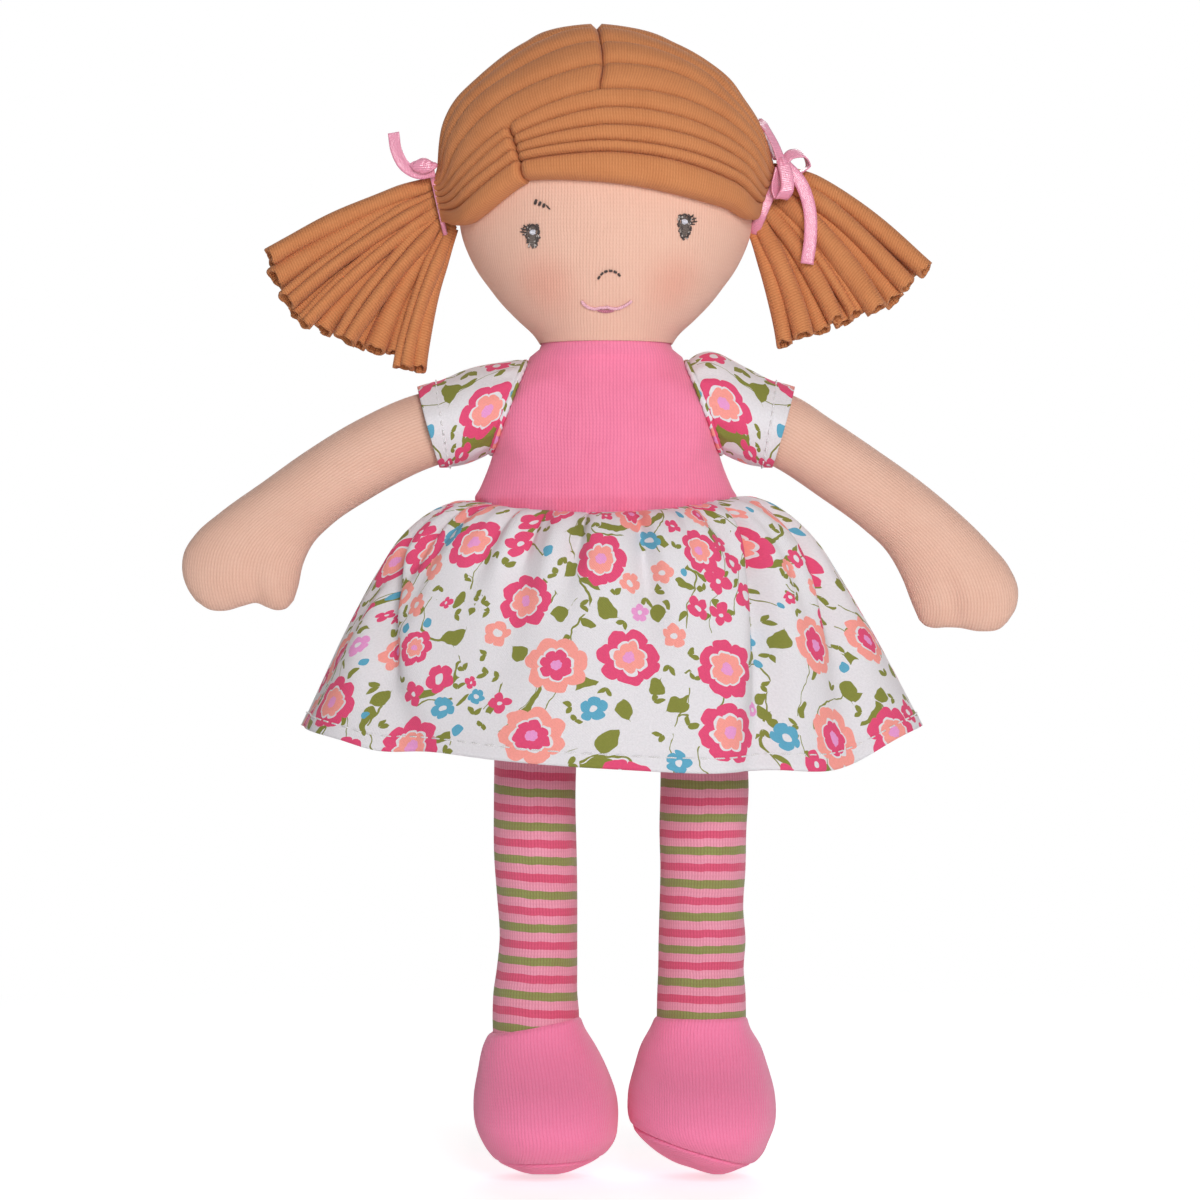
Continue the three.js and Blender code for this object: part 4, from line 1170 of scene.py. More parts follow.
        return [self.strip(side, border(k), border(k + 1), start, seed * 31 + k, 0.5) for k in range(count)]

    def build(self) -> None:
        """The crown, the swept fringe and the back, on both sides."""
        fringe_borders = {Side.LEFT: (0, 0.32, 0.46, 0.61, 0.78, 1), Side.RIGHT: (0, 0.4, 0.59, 0.79, 1)}
        for side in Side:
            word, shift = side.word, side.value

            def edge(reach: Array) -> Array:
                """The lowest crown strip's lower edge. Past the middle it is the other side's."""
                slope = np.where((reach < 0) | (side is Side.RIGHT), -0.2, 0.1)
                return self.crown_edge + slope * np.abs(reach)

            def hairline(reach: Array) -> Array:
                """The edge of the fringe over the face."""
                if side is Side.LEFT:
                    past, dip = np.maximum(0, reach), np.maximum(0, reach - 55)
                    return 9.9 - 0.09 * reach - 0.0015 * past**2 - 0.05 * dip**2
                return 12.3 - 0.43 * (reach - 34.4) - 0.0133 * np.maximum(0, reach - 34.4) ** 2

            def level(lift: float) -> Edge:
                """An edge with the same lift all along."""
                return lambda reach: np.full_like(reach, lift)

            def back_high(reach: Array) -> Array:
                """The back hair's lower edge."""
                return self.back_high - 44.0 * ease((reach - 30.0) / 45.0)

            middle, beside = self.parting_reach, 0.4 - shift * self.side_parting_reach
            crown = self.strips(side, np.linspace(0, 1, 6), edge, level(self.crown_top), middle, 21 + shift)
            fringe = self.strips(side, fringe_borders[side], hairline, edge, beside, 41 + shift)
            for kind, patches in (("crown", crown), ("fringe", fringe)):
                for k, patch in enumerate(patches, 1):
                    name = f"{kind}_strip_{word}_{k}"
                    sew(f"folded_{name}", patch, HAIR, "head", [name])
            low = level(self.back_low)
            back = self.strips(side, np.linspace(0, 1, 8), low, back_high, middle, 61 + shift)
            sew(f"folded_back_hair_{word}", back, HAIR, "head", [f"back_hair_{word}"])


@dataclass
class Pigtail:
    """One pigtail: rolled jersey strips of uneven width, open at their cut ends, held by a tie.

    A strand's row is its root's share of the tie from the top, its end's x and z, its width and
    its depth y. The turn of its slit from the back may follow.
    """

    side: Side
    bulge: float
    strands: Rows
    wall: float = 0.75
    flatness: float = 0.64
    slit_gap: float = 0.15

    def centre_line(self, root: float, end: Array, t: Array) -> Array:
        """The path of a strand from the tie to its end, in the front plane.

        It is a cubic Bezier curve. It leaves the tie a little higher than its chord and ends a
        little lower.

        Args:
            root: the share of the tie's height from its top.
            end: the place (x, z) of its end.
            t: places along the curve from 0 to 1.

        Returns:
            Points (x, z), with x away from the head.
        """
        tie = TIES[self.side]
        inside = 1.6 * tie.out[[0, 2]]
        at = np.array([tie.x, tie.z]) + tie.up[[0, 2]] * tie.half_height * (1 - 2 * root)
        length = float(np.linalg.norm(end - at))
        angle = math.atan2(end[1] - at[1], end[0] - at[0])
        leave, arrive = angle + self.bulge * (1 - root), angle - 0.12
        first = at + 0.33 * length * np.array([math.cos(leave), math.sin(leave)])
        second = end - 0.35 * length * np.array([math.cos(arrive), math.sin(arrive)])
        s = t[:, None]
        out = (at - inside) * (1 - s) ** 3 + first * 3 * s * (1 - s) ** 2
        return out + second * 3 * s**2 * (1 - s) + end * s**3

    def strand(self, row: Sequence[float], rng: np.random.Generator) -> Patch:
        """One rolled strip: a wall bent round into a tube whose two edges tuck in along a slit.

        Round the section the middle of the wall is (a cos q, b sin q) times 1 less a narrow dip
        at the slit. The cut end is ragged, and shorter in front, so that its hole shows.

        Args:
            row: the strand's row.
            rng: for its small unevenness.

        Returns:
            The closed wall.
        """
        root, x, z, width, back, *slit = row
        t = np.linspace(0, 1, 46)
        line = self.centre_line(root, np.array([x, z]), t)
        run = np.append(0, np.cumsum(np.linalg.norm(np.diff(line, axis=0), axis=1)))
        free = ease((run - 2.2) / 8.5)
        slow = 1 + 0.05 * np.sin(run * rng.uniform(0.16, 0.3) + rng.uniform(0, 6))
        half_width = lerp(1.75, 0.47 * width, free) * slow - self.wall / 2
        depth = lerp(1.1, self.flatness * width, free) - self.wall / 2
        middle_y = back * lerp(0.75, 1.0, free) + 0.35 * free * np.sin(run * 0.13 + rng.uniform(0, 6))
        limit = TIES[self.side].half_depth - 0.9
        middle_y = lerp(np.clip(middle_y, -limit, limit), middle_y, free)
        tangent = unit(np.gradient(line, axis=0))
        across = np.stack([-tangent[:, 1], tangent[:, 0]], -1)
        angle = math.radians(slit[0] - 90.0 if slit else 90.0)
        q = np.linspace(angle + self.slit_gap, angle + 2 * math.pi - self.slit_gap, 32)
        edge = np.minimum(q - q[0], q[-1] - q)
        tuck = 1 - 0.5 * np.exp(-((edge / 0.3) ** 2))
        a, b = half_width[:, None] * np.cos(q) * tuck, depth[:, None] * np.sin(q) * tuck
        ragged = 0.22 * np.sin(q * 2 + rng.uniform(0, 6)) + 0.14 * np.sin(q * 5 + rng.uniform(0, 6))
        flow = (t**8)[:, None] * (ragged + rng.uniform(0.3, 0.9) * np.sin(q))
        points = line[:, None] + across[:, None] * a[..., None] + tangent[:, None] * flow[..., None]
        solid = points_of(points[..., 0], middle_y[:, None] + b, points[..., 1]) * self.side.mirror
        thickness = self.wall * lerp(0.6, 1.0, free)[:, None] * np.ones(32)
        return Patch.wall(solid, sheet_cloth(solid, turned=True), thickness, round_columns=False)

    def build(self) -> None:
        """Each strand is a piece, and every second one stands for one of the frame's strands."""
        rng = np.random.default_rng(80 + self.side.value)
        word = self.side.word
        for k, row in enumerate(self.strands):
            nodes = [f"pigtail_strand_{word}_{k // 2 + 1}"] if k % 2 == 0 and k < 12 else []
            patch = self.strand(row, rng)
            sew(f"rolled_strand_{word}_{k + 1}", patch, HAIR, f"pigtail_{word}", nodes)


STRANDS_RIGHT = (
    (0.05, 76.0, 56.4, 4.7, -0.7), (0.12, 75.6, 54.6, 4.6, 2.0), (0.20, 75.0, 51.4, 6.0, 0.9),
    (0.28, 72.2, 46.4, 5.3, -1.9, 24.0), (0.36, 70.6, 43.6, 4.8, 2.1), (0.46, 68.4, 41.3, 4.5, -2.1, 38.0),
    (0.53, 64.4, 40.1, 5.6, 1.5), (0.62, 59.2, 37.6, 6.3, -1.9, 18.0), (0.68, 56.6, 36.8, 4.8, 2.2),
    (0.74, 52.4, 35.5, 5.2, 0.6), (0.84, 47.9, 34.6, 4.8, 1.7), (0.90, 45.9, 31.3, 4.9, -1.9, 30.0),
    (0.97, 42.4, 31.1, 4.1, -0.2),
)
STRANDS_LEFT = (
    (0.05, 72.4, 53.4, 4.9, -0.5), (0.12, 71.0, 53.6, 4.6, 2.1), (0.18, 68.3, 49.8, 4.6, -1.7),
    (0.26, 65.5, 46.7, 5.6, 1.2), (0.36, 61.2, 44.3, 5.8, -2.2), (0.40, 62.4, 45.4, 4.6, 2.3),
    (0.48, 56.6, 43.3, 4.2, -1.6, 20.0), (0.54, 54.0, 41.4, 4.6, 1.1), (0.62, 52.0, 42.0, 4.3, -2.2),
    (0.70, 48.9, 39.7, 4.8, 0.7), (0.82, 44.6, 38.5, 4.9, -2.0), (0.88, 43.0, 38.2, 4.4, 1.9),
    (0.95, 40.4, 36.7, 4.2, -0.5),
)


@dataclass
class Bow:
    """The satin ribbon round a pigtail's root and its bow: a band, a knot, loops and tails.

    A strap is its width, the points that its middle passes on the left side, and for each point
    the direction that its width lies in.
    """

    side: Side
    knot: Point
    knot_size: Point
    straps: tuple[tuple[float, Rows, Rows], ...]
    thickness: float = 0.3

    def strap(self, width: float, middle: Rows, facing: Rows) -> Patch:
        """A flat, slightly crowned ribbon along a path, as a thin closed wall."""
        steps = np.linspace(0, 1, 9 * len(middle))
        line = path_through(middle, steps)
        lie = curve_through(steps, np.linspace(0, 1, len(facing)), facing)
        tangent = unit(np.gradient(line, axis=0))
        lie = unit(lie - tangent * np.sum(lie * tangent, -1, keepdims=True))
        across = np.linspace(-0.5, 0.5, 7)
        crown = np.cross(tangent, lie)[:, None] * (0.12 * (1 - (2 * across) ** 2))[:, None]
        points = (line[:, None] + lie[:, None] * (across * width)[:, None] + crown) * self.side.mirror
        return Patch.wall(points, sheet_cloth(points), self.thickness, round_columns=False)

    def band(self) -> Patch:
        """The ribbon's turn round the hair: an oval band across the pinch, a little crowned."""
        tie, turn = TIES[self.side], circle(72)
        across = np.linspace(-0.5, 0.5, 7)[:, None]
        ripple = 0.08 * np.sin(9 * turn + across * 3) + 0.2 * (1 - (2 * across) ** 2)
        points = tie.ring(turn + 0 * across, 1.75 + ripple, across * tie.band_width + 0 * turn)
        points = points * self.side.mirror * (1, 0.84, 1)
        return Patch.wall(points, ring_cloth(points, 0, turned=True), self.thickness, round_columns=True)

    def knot_patch(self) -> Patch:
        """The knot: a puffed cushion of ribbon, pinched at both ends, with folds round it."""
        turn = circle(48)
        angle = np.linspace(0.06, math.pi - 0.06, 26)[:, None]
        fold = 1 + 0.09 * np.sin(4 * turn + 2.5 * np.cos(angle)) + 0.05 * np.sin(9 * turn - 3 * angle)
        flat = np.sin(angle) ** 0.8 * fold
        pinch = 1 - 0.35 * np.cos(turn) ** 4
        ball = points_of(flat * np.cos(turn), flat * np.sin(turn), pinch * np.cos(angle))
        return Patch.tube((ball * self.knot_size + np.array(self.knot)) * self.side.mirror)

    def build(self) -> None:
        """The band and the bow, each a piece of its own."""
        word = self.side.word
        sew(f"satin_band_{word}", self.band(), RIBBON, "head", [f"ribbon_band_{word}"])
        patches = [self.knot_patch(), *(self.strap(*strap) for strap in self.straps)]
        sew(f"satin_bow_{word}", patches, RIBBON, "head", [f"ribbon_bow_{word}"])


BOW_LEFT = Bow(Side.LEFT, (39.7, -6.6, 77.2), (1.3, 0.9, 1.3), (
    (
        2.4,
        (
            (39.7, -6.4, 77.0), (37.8, -5.4, 82.0), (35.4, -3.2, 86.2), (34.5, 0.2, 86.8), (36.4, 1.2, 83.5),
            (38.8, -3.8, 78.0),
        ),
        (
            (0.75, 0.6, 0.3), (0.6, 0.75, 0.3), (0.4, 0.9, 0.4), (0.2, 1, 0.2), (0.4, 0.9, 0.2),
            (0.7, 0.7, 0.2),
        ),
    ), (
        2.7,
        (
            (39.8, -6.2, 77.0), (41.8, -5.4, 79.2), (44.4, -4.2, 79.2), (45.6, -3.4, 76.8),
            (43.6, -4.8, 75.4), (40.4, -6.0, 76.4),
        ),
        (
            (0.2, 0.5, 0.9), (0.0, 0.6, 0.8), (-0.4, 0.7, 0.6), (-0.2, 0.9, 0.2), (0.3, 0.9, 0.3),
            (0.2, 0.8, 0.6),
        ),
    ), (
        3.0,
        (
            (39.9, -7.0, 76.8), (40.6, -8.0, 73.8), (40.5, -8.3, 70.6), (39.3, -7.2, 69.2),
            (38.4, -6.4, 71.5), (39.4, -6.4, 75.8),
        ),
        ((1, 0.1, 0.2), (1, 0.15, 0.2), (1, 0.1, 0.1), (0.9, 0.3, -0.1), (0.7, 0.6, 0), (0.9, 0.3, 0.2)),
    ), (
        2.9,
        ((40.2, -6.6, 76.6), (43.4, -6.9, 73.2), (45.6, -7.0, 67.5), (46.0, -6.8, 61.0), (45.2, -6.6, 54.4)),
        ((0.7, 0.1, 0.7), (0.95, 0.1, 0.5), (1, 0.1, 0.2), (1, 0.1, 0), (1, 0.05, -0.1)),
    ),
))
BOW_RIGHT = Bow(Side.RIGHT, (41.1, -5.9, 76.5), (3.0, 1.4, 1.9), ((
    2.6,
    ((38.6, -5.4, 75.4), (42.4, -5.6, 74.9), (45.2, -5.6, 76.4), (47.2, -5.5, 79.9), (47.9, -5.3, 84.1)),
    ((0.1, 0.3, -1), (0.1, 0.2, -1), (0.75, 0.1, -0.6), (1, 0.1, -0.4), (1, 0.1, -0.15)),
),))


@dataclass
class Torso:
    """The stuffed body: a pink jersey bodice over a rounded seat, with a dome that fills the head's bowl.

    A row is a height, half the width and half the depth.
    """

    seat_axis_z: float = -14.0
    seat_radius: float = 14.0
    dome_z: float = 30.0
    dome_radius: float = 16.1
    rows: Rows = (
        (-14.0, 29.0, 14.0), (-6.0, 29.2, 14.0), (-1.0, 28.7, 14.2), (0.6, 29.1, 14.6), (1.6, 29.7, 15.0),
        (4.0, 28.6, 15.3), (8.0, 26.9, 15.9), (14.0, 24.9, 16.3), (20.0, 22.8, 15.9), (26.0, 20.7, 14.7),
        (30.5, 19.0, 13.4), (33.8, 17.3, 13.0),
    )
    neck_rows: Rows = (
        (44.2, 8.6), (44.4, 9.2), (45.0, 9.45), (48.0, 9.5), (52.0, 9.45), (53.6, 9.2), (54.0, 8.6)
    )
    boss_radius: float = 10.9
    boss_fade: float = 6.0

    def build(self) -> None:
        """Lofts the rows, then raises a low round seat for each sleeve.

        Near a shoulder a point is moved out along the shoulder's axis, to the sleeve's root plane
        within boss_radius of the axis and by less beyond it.
        """
        columns = 176
        seat = np.radians(np.linspace(84, 4, 16))
        body_z = np.linspace(self.rows[0][0], self.rows[-1][0], 84)
        body = row_at(body_z, self.rows)
        dome_angle = np.radians(np.linspace(20, 86, 14))
        dome = self.dome_radius * np.cos(dome_angle)
        seat_z = self.seat_axis_z - self.seat_radius * np.sin(seat)
        z = np.concatenate([seat_z, body_z, self.dome_z + self.dome_radius * np.sin(dome_angle)])
        width = np.concatenate([29.0 - 5.0 * (np.degrees(seat) / 90) ** 3, body[:, 0], dome])
        depth = np.concatenate([self.seat_radius * np.cos(seat), body[:, 1], dome])
        rings = oval_rings(width, depth, z, circle(columns, math.pi / 2))
        for side in Side:
            axis = unit(SHOULDER_AXIS * side.mirror)
            away = rings - SHOULDER * side.mirror
            along = away @ axis
            off_axis = np.linalg.norm(away - along[..., None] * axis, axis=-1)
            target = -0.4 - 9.0 * np.clip((off_axis - self.boss_radius) / self.boss_fade, 0, 1) ** 1.3
            near = (along > -11) & (off_axis < self.boss_radius + self.boss_fade)
            target = np.where(z[:, None] < 34, target, -99)
            push = np.where(near, np.maximum(0, target - along), 0)
            trim = np.where(near & (off_axis < self.boss_radius), np.minimum(0, -0.4 - along), 0)
            rings = rings + soften(push + trim, 14)[..., None] * axis
        cloth = ring_cloth(rings, columns // 2)
        piece = sew("bodice_and_seat", Patch.tube(rings, cloth), BODICE, "torso", ["torso"])
        heights, radii = np.array(self.neck_rows).T
        stub = Patch.tube(oval_rings(radii, radii, heights, circle(40)))
        sew("neck_stub_jersey", stub, SKIN, "neck", ["neck_stub"])


@dataclass
class Sleeve:
    """A short set-in sleeve of cotton lawn with a piped armhole seam and a turned, stitched hem."""

    side: Side
    crown: float
    hem: Point = (40.1, 0.0, 18.4)
    hem_axis: Point = (0.962, 0.0, -0.272)
    root_radius: float = 11.1
    hem_half_height: float = 9.3
    hem_half_depth: float = 10.1
    wall: float = 0.36
    hem_depth: float = 3.4

    def surface(self, share: Array, turn: Array) -> Array:
        """Points of the sleeve from its root to its hem.

        The section is an oval whose middle runs from the shoulder to the hem and whose plane turns
        from the armhole's to the hem's. Gathers fade out from the root, and slow waves grow to the
        hem.

        Args:
            share: 0 at the root, 1 at the hem.
            turn: the angle round the sleeve.

        Returns:
            The points.
        """
        middle = lerp(SHOULDER + 0.7 * SHOULDER_AXIS, np.array(self.hem), share[..., None])
        middle[..., 2] += 0.4 * np.sin(math.pi * share) * (1 - share) - 0.5 * share
        facing = unit(lerp(SHOULDER_AXIS, np.array(self.hem_axis), share[..., None]))
        up = unit(np.cross(facing, BACK))
        up = up * np.sign(up[..., 2:3])
        puff = 0.6 * np.sin(math.pi * share**0.8)
        crowns = (0.0, self.crown, self.crown / 4 - 0.2, -0.8, -0.3)
        crown = curve_through(share, (0.0, 0.2, 0.5, 0.75, 1.0), crowns)
        gather = 0.28 * np.exp(-share * 6) * np.cos(17 * turn) * ease(share * 12)
        wave = 0.45 * ease(share) * (np.cos(5 * turn + 1.2) + 0.6 * np.cos(3 * turn + 0.3))
        height = lerp(self.root_radius, self.hem_half_height, share) + puff + gather + wave * 0.4
        height = height + crown * np.maximum(0, np.cos(turn))
        depth = lerp(self.root_radius, self.hem_half_depth, share) + puff + gather + wave
        points = middle + up * (height * np.cos(turn))[..., None] + BACK * (depth * np.sin(turn))[..., None]
        return points * self.side.mirror

    def build(self) -> None:
        """The sleeve, its hem's running stitches and the piped seam at the armhole."""
        word = self.side.word
        columns, rows = 192, 56
        share, turn = np.meshgrid(np.linspace(0, 1, rows), circle(columns, math.pi), indexing="ij")
        points = self.surface(share, turn)
        cloth = ring_cloth(points, columns // 2)
        length = cloth[-1, 0, 1]
        in_hem = ease((cloth[:, :-1, 1] - (length - self.hem_depth)) / 0.5)
        wall = Patch.wall(points, cloth, self.wall * (1 + 0.9 * in_hem), round_columns=True)
        piece = sew(f"sleeve_cloth_{word}", wall, COTTON, "", [f"sleeve_{word}"])
        stitch = running_stitches(self.surface, 1 - self.hem_depth / length, 30, 0.5, 0.62)
        hem = sew(f"sleeve_hem_stitches_{word}", stitch, HEM_THREAD, "")
        start, end = (24.5 * self.side.value * MM, 0, 22 * MM), (36.0 * self.side.value * MM, 0, 19.5 * MM)
        for made in (piece, hem):
            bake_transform(made)
            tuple(start)
            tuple(end)

        rope_turn, small = circle(96), circle(10)
        rope = self.surface(np.zeros(96), rope_turn)
        axis = SHOULDER_AXIS * self.side.mirror
        outward = unit(rope - SHOULDER * self.side.mirror - 0.7 * axis)[:, None]
        pucker = 0.75 + 0.12 * np.cos(34 * rope_turn)[:, None]
        section = outward * (pucker * np.cos(small))[..., None] + axis * (pucker * np.sin(small))[..., None]
        piping = torus_patch(rope[:, None] - 0.6 * axis - 0.3 * outward + section)
        node, body = f"armhole_seam_{word}", f"shoulder_{word}"
        sew(f"armhole_piping_{word}", piping, COTTON, body, [node])


def torus_patch(rings: Array) -> Patch:
    """A ring of rings, each joined to the next and the last to the first."""
    count, around = rings.shape[:2]
    index = np.pad(np.arange(count * around).reshape(count, around), (0, 1), mode="wrap")
    along = distances(np.concatenate([rings, rings[:1]]), 0).mean(axis=1)
    across = distances(np.concatenate([rings, rings[:, :1]], axis=1), 1).mean(axis=0)
    laid = np.stack(np.meshgrid(along, across, indexing="ij")[::-1], -1)
    return Patch(rings.reshape(-1, 3), [cells(index)], [cells(laid)])


def running_stitches(
    surface: Callable[[Array, Array], Array], share: float, count: int, offset: float, fill: float
) -> list[Patch]:
    """A row of running stitches round a garment, on its outside.

    Args:
        surface: the garment's surface as a function of share and turn.
        share: the row's place on it.
        count: how many stitches go round.
        offset: how far the thread's middle stands off the surface's middle, in mm.
        fill: the share of each step that the stitch covers.

    Returns:
        One patch for each stitch.
    """
    radius, step = 0.17, 1e-3
    t = np.linspace(0, 1, 7)
    turn = circle(count)[:, None] + t * fill * 2 * math.pi / count
    here = surface(np.full_like(turn, share), turn)
    ahead = surface(np.full_like(turn, share), turn + step) - here
    down = surface(np.full_like(turn, share + step), turn) - here
    normal = unit(np.cross(ahead, down))
    inward = here.mean(axis=(0, 1)) - here
    normal = normal * -np.sign(np.sum(normal * inward, -1, keepdims=True))
    middle = here + normal * (offset * np.sin(math.pi * t) ** 0.5)[None, :, None]
    side = unit(np.cross(normal, unit(np.gradient(middle, axis=1))))
    return threads(middle, side, normal, radius, 6)


@dataclass
class Arm:
    """A stuffed arm cut as one flat shape with its mitten hand, sewn round its outline and filled.

    The outline's places are (x, z) in mm for an arm on the left side.
    """

    side: Side
    outer: Rows
    inner: Rows
    fingertips: Rows
    half_depth: float = 7.7
    hand_depth: float = 6.5
    tip_share: float = 0.85
    rim: float = 0.04
    drop: float = -0.1
    notch: float = 0.62

    def rings(self, count: int = 120, columns: int = 96) -> Array:
        """Oval sections from one side of the outline to the other.

        A section's points lie at (1 - cos q) / 2 of the way from the outer to the inner edge and
        half_depth sin q to the front. Near the fingertips its line bends towards the outline's
        end, and its depth falls as the root of 1 - k squared.
        """
        s = 1 - (1 - np.linspace(0, 1, count)) ** 1.6
        outer, inner = path_through(self.outer, s), path_through(self.inner, s)
        q = circle(columns)
        across = (1 - np.cos(q)) / 2
        end = path_through([self.outer[-1], *self.fingertips, self.inner[-1]], across)
        straight = lerp(np.array(self.outer[-1]), np.array(self.inner[-1]), across[:, None])
        k = np.clip((s - self.tip_share) / (1 - self.tip_share), 0, 1)
        line = outer[:, None] + (inner - outer)[:, None] * across[:, None]
        line = line + (k**1.5)[:, None, None] * (end - straight) + np.array([0.0, self.drop])
        depth = lerp(self.half_depth, self.hand_depth, ease((s - 0.55) / 0.3))
        root = np.sqrt(1 - (1 - np.clip(s / 0.05, 0, 1)) ** 2)
        depth = depth * np.maximum(self.rim, np.sqrt(1 - k**2)) * (0.35 + 0.65 * root)
        valley = 0.3 * np.exp(-(((across - self.notch) / 0.09) ** 2)) * ease((s - 0.8) / 0.2)[:, None]
        full = np.sign(np.sin(q)) * np.abs(np.sin(q)) ** 0.92
        return points_of(line[..., 0], -depth[:, None] * full * (1 - valley), line[..., 1]) * self.side.mirror

    def build(self) -> None:
        """The arm, closed at the fingertips, its wales running along it."""
        rings, name = self.rings(), f"arm_{self.side.word}"
        patch = Patch.tube(rings, ring_cloth(rings, rings.shape[1] // 4), flat_end=True)
        piece = sew(f"stuffed_{name}", patch, SKIN, name, [name])


ARM_RIGHT = Arm(
    Side.RIGHT,
    outer=(
        (27.0, 27.4), (33.0, 27.2), (42.4, 25.6), (56.4, 19.6), (67.3, 13.0), (77.9, 5.5), (87.4, -1.3),
        (92.8, -6.0), (95.6, -10.5), (95.9, -15.0), (94.6, -18.8), (92.9, -21.3),
    ),
    inner=(
        (26.0, 15.0), (31.0, 12.2), (42.4, 7.8), (53.7, 1.7), (62.1, -4.0), (66.4, -8.4), (68.6, -13.0),
        (69.7, -18.0), (70.7, -21.2),
    ),
    fingertips=(
        (89.7, -23.3), (86.0, -23.5), (82.4, -22.5), (79.0, -21.8), (76.9, -22.7), (74.7, -23.4),
        (72.6, -23.1),
    ),
)
ARM_LEFT = Arm(
    Side.LEFT,
    outer=(
        (27.0, 27.4), (33.0, 27.4), (42.4, 25.2), (51.0, 19.8), (59.8, 13.9), (74.1, 3.5), (86.7, -8.1),
        (91.2, -13.5), (93.3, -18.6), (92.8, -23.0), (91.0, -26.0),
    ),
    inner=(
        (26.0, 15.0), (31.0, 12.2), (37.8, 9.2), (48.2, 2.4), (58.4, -5.1), (63.2, -9.6), (67.0, -16.0),
        (69.3, -21.9), (70.9, -25.6),
    ),
    fingertips=((89.2, -27.6), (84.8, -28.2), (79.8, -27.4), (77.0, -27.3), (73.9, -27.4), (72.3, -26.9)),
)


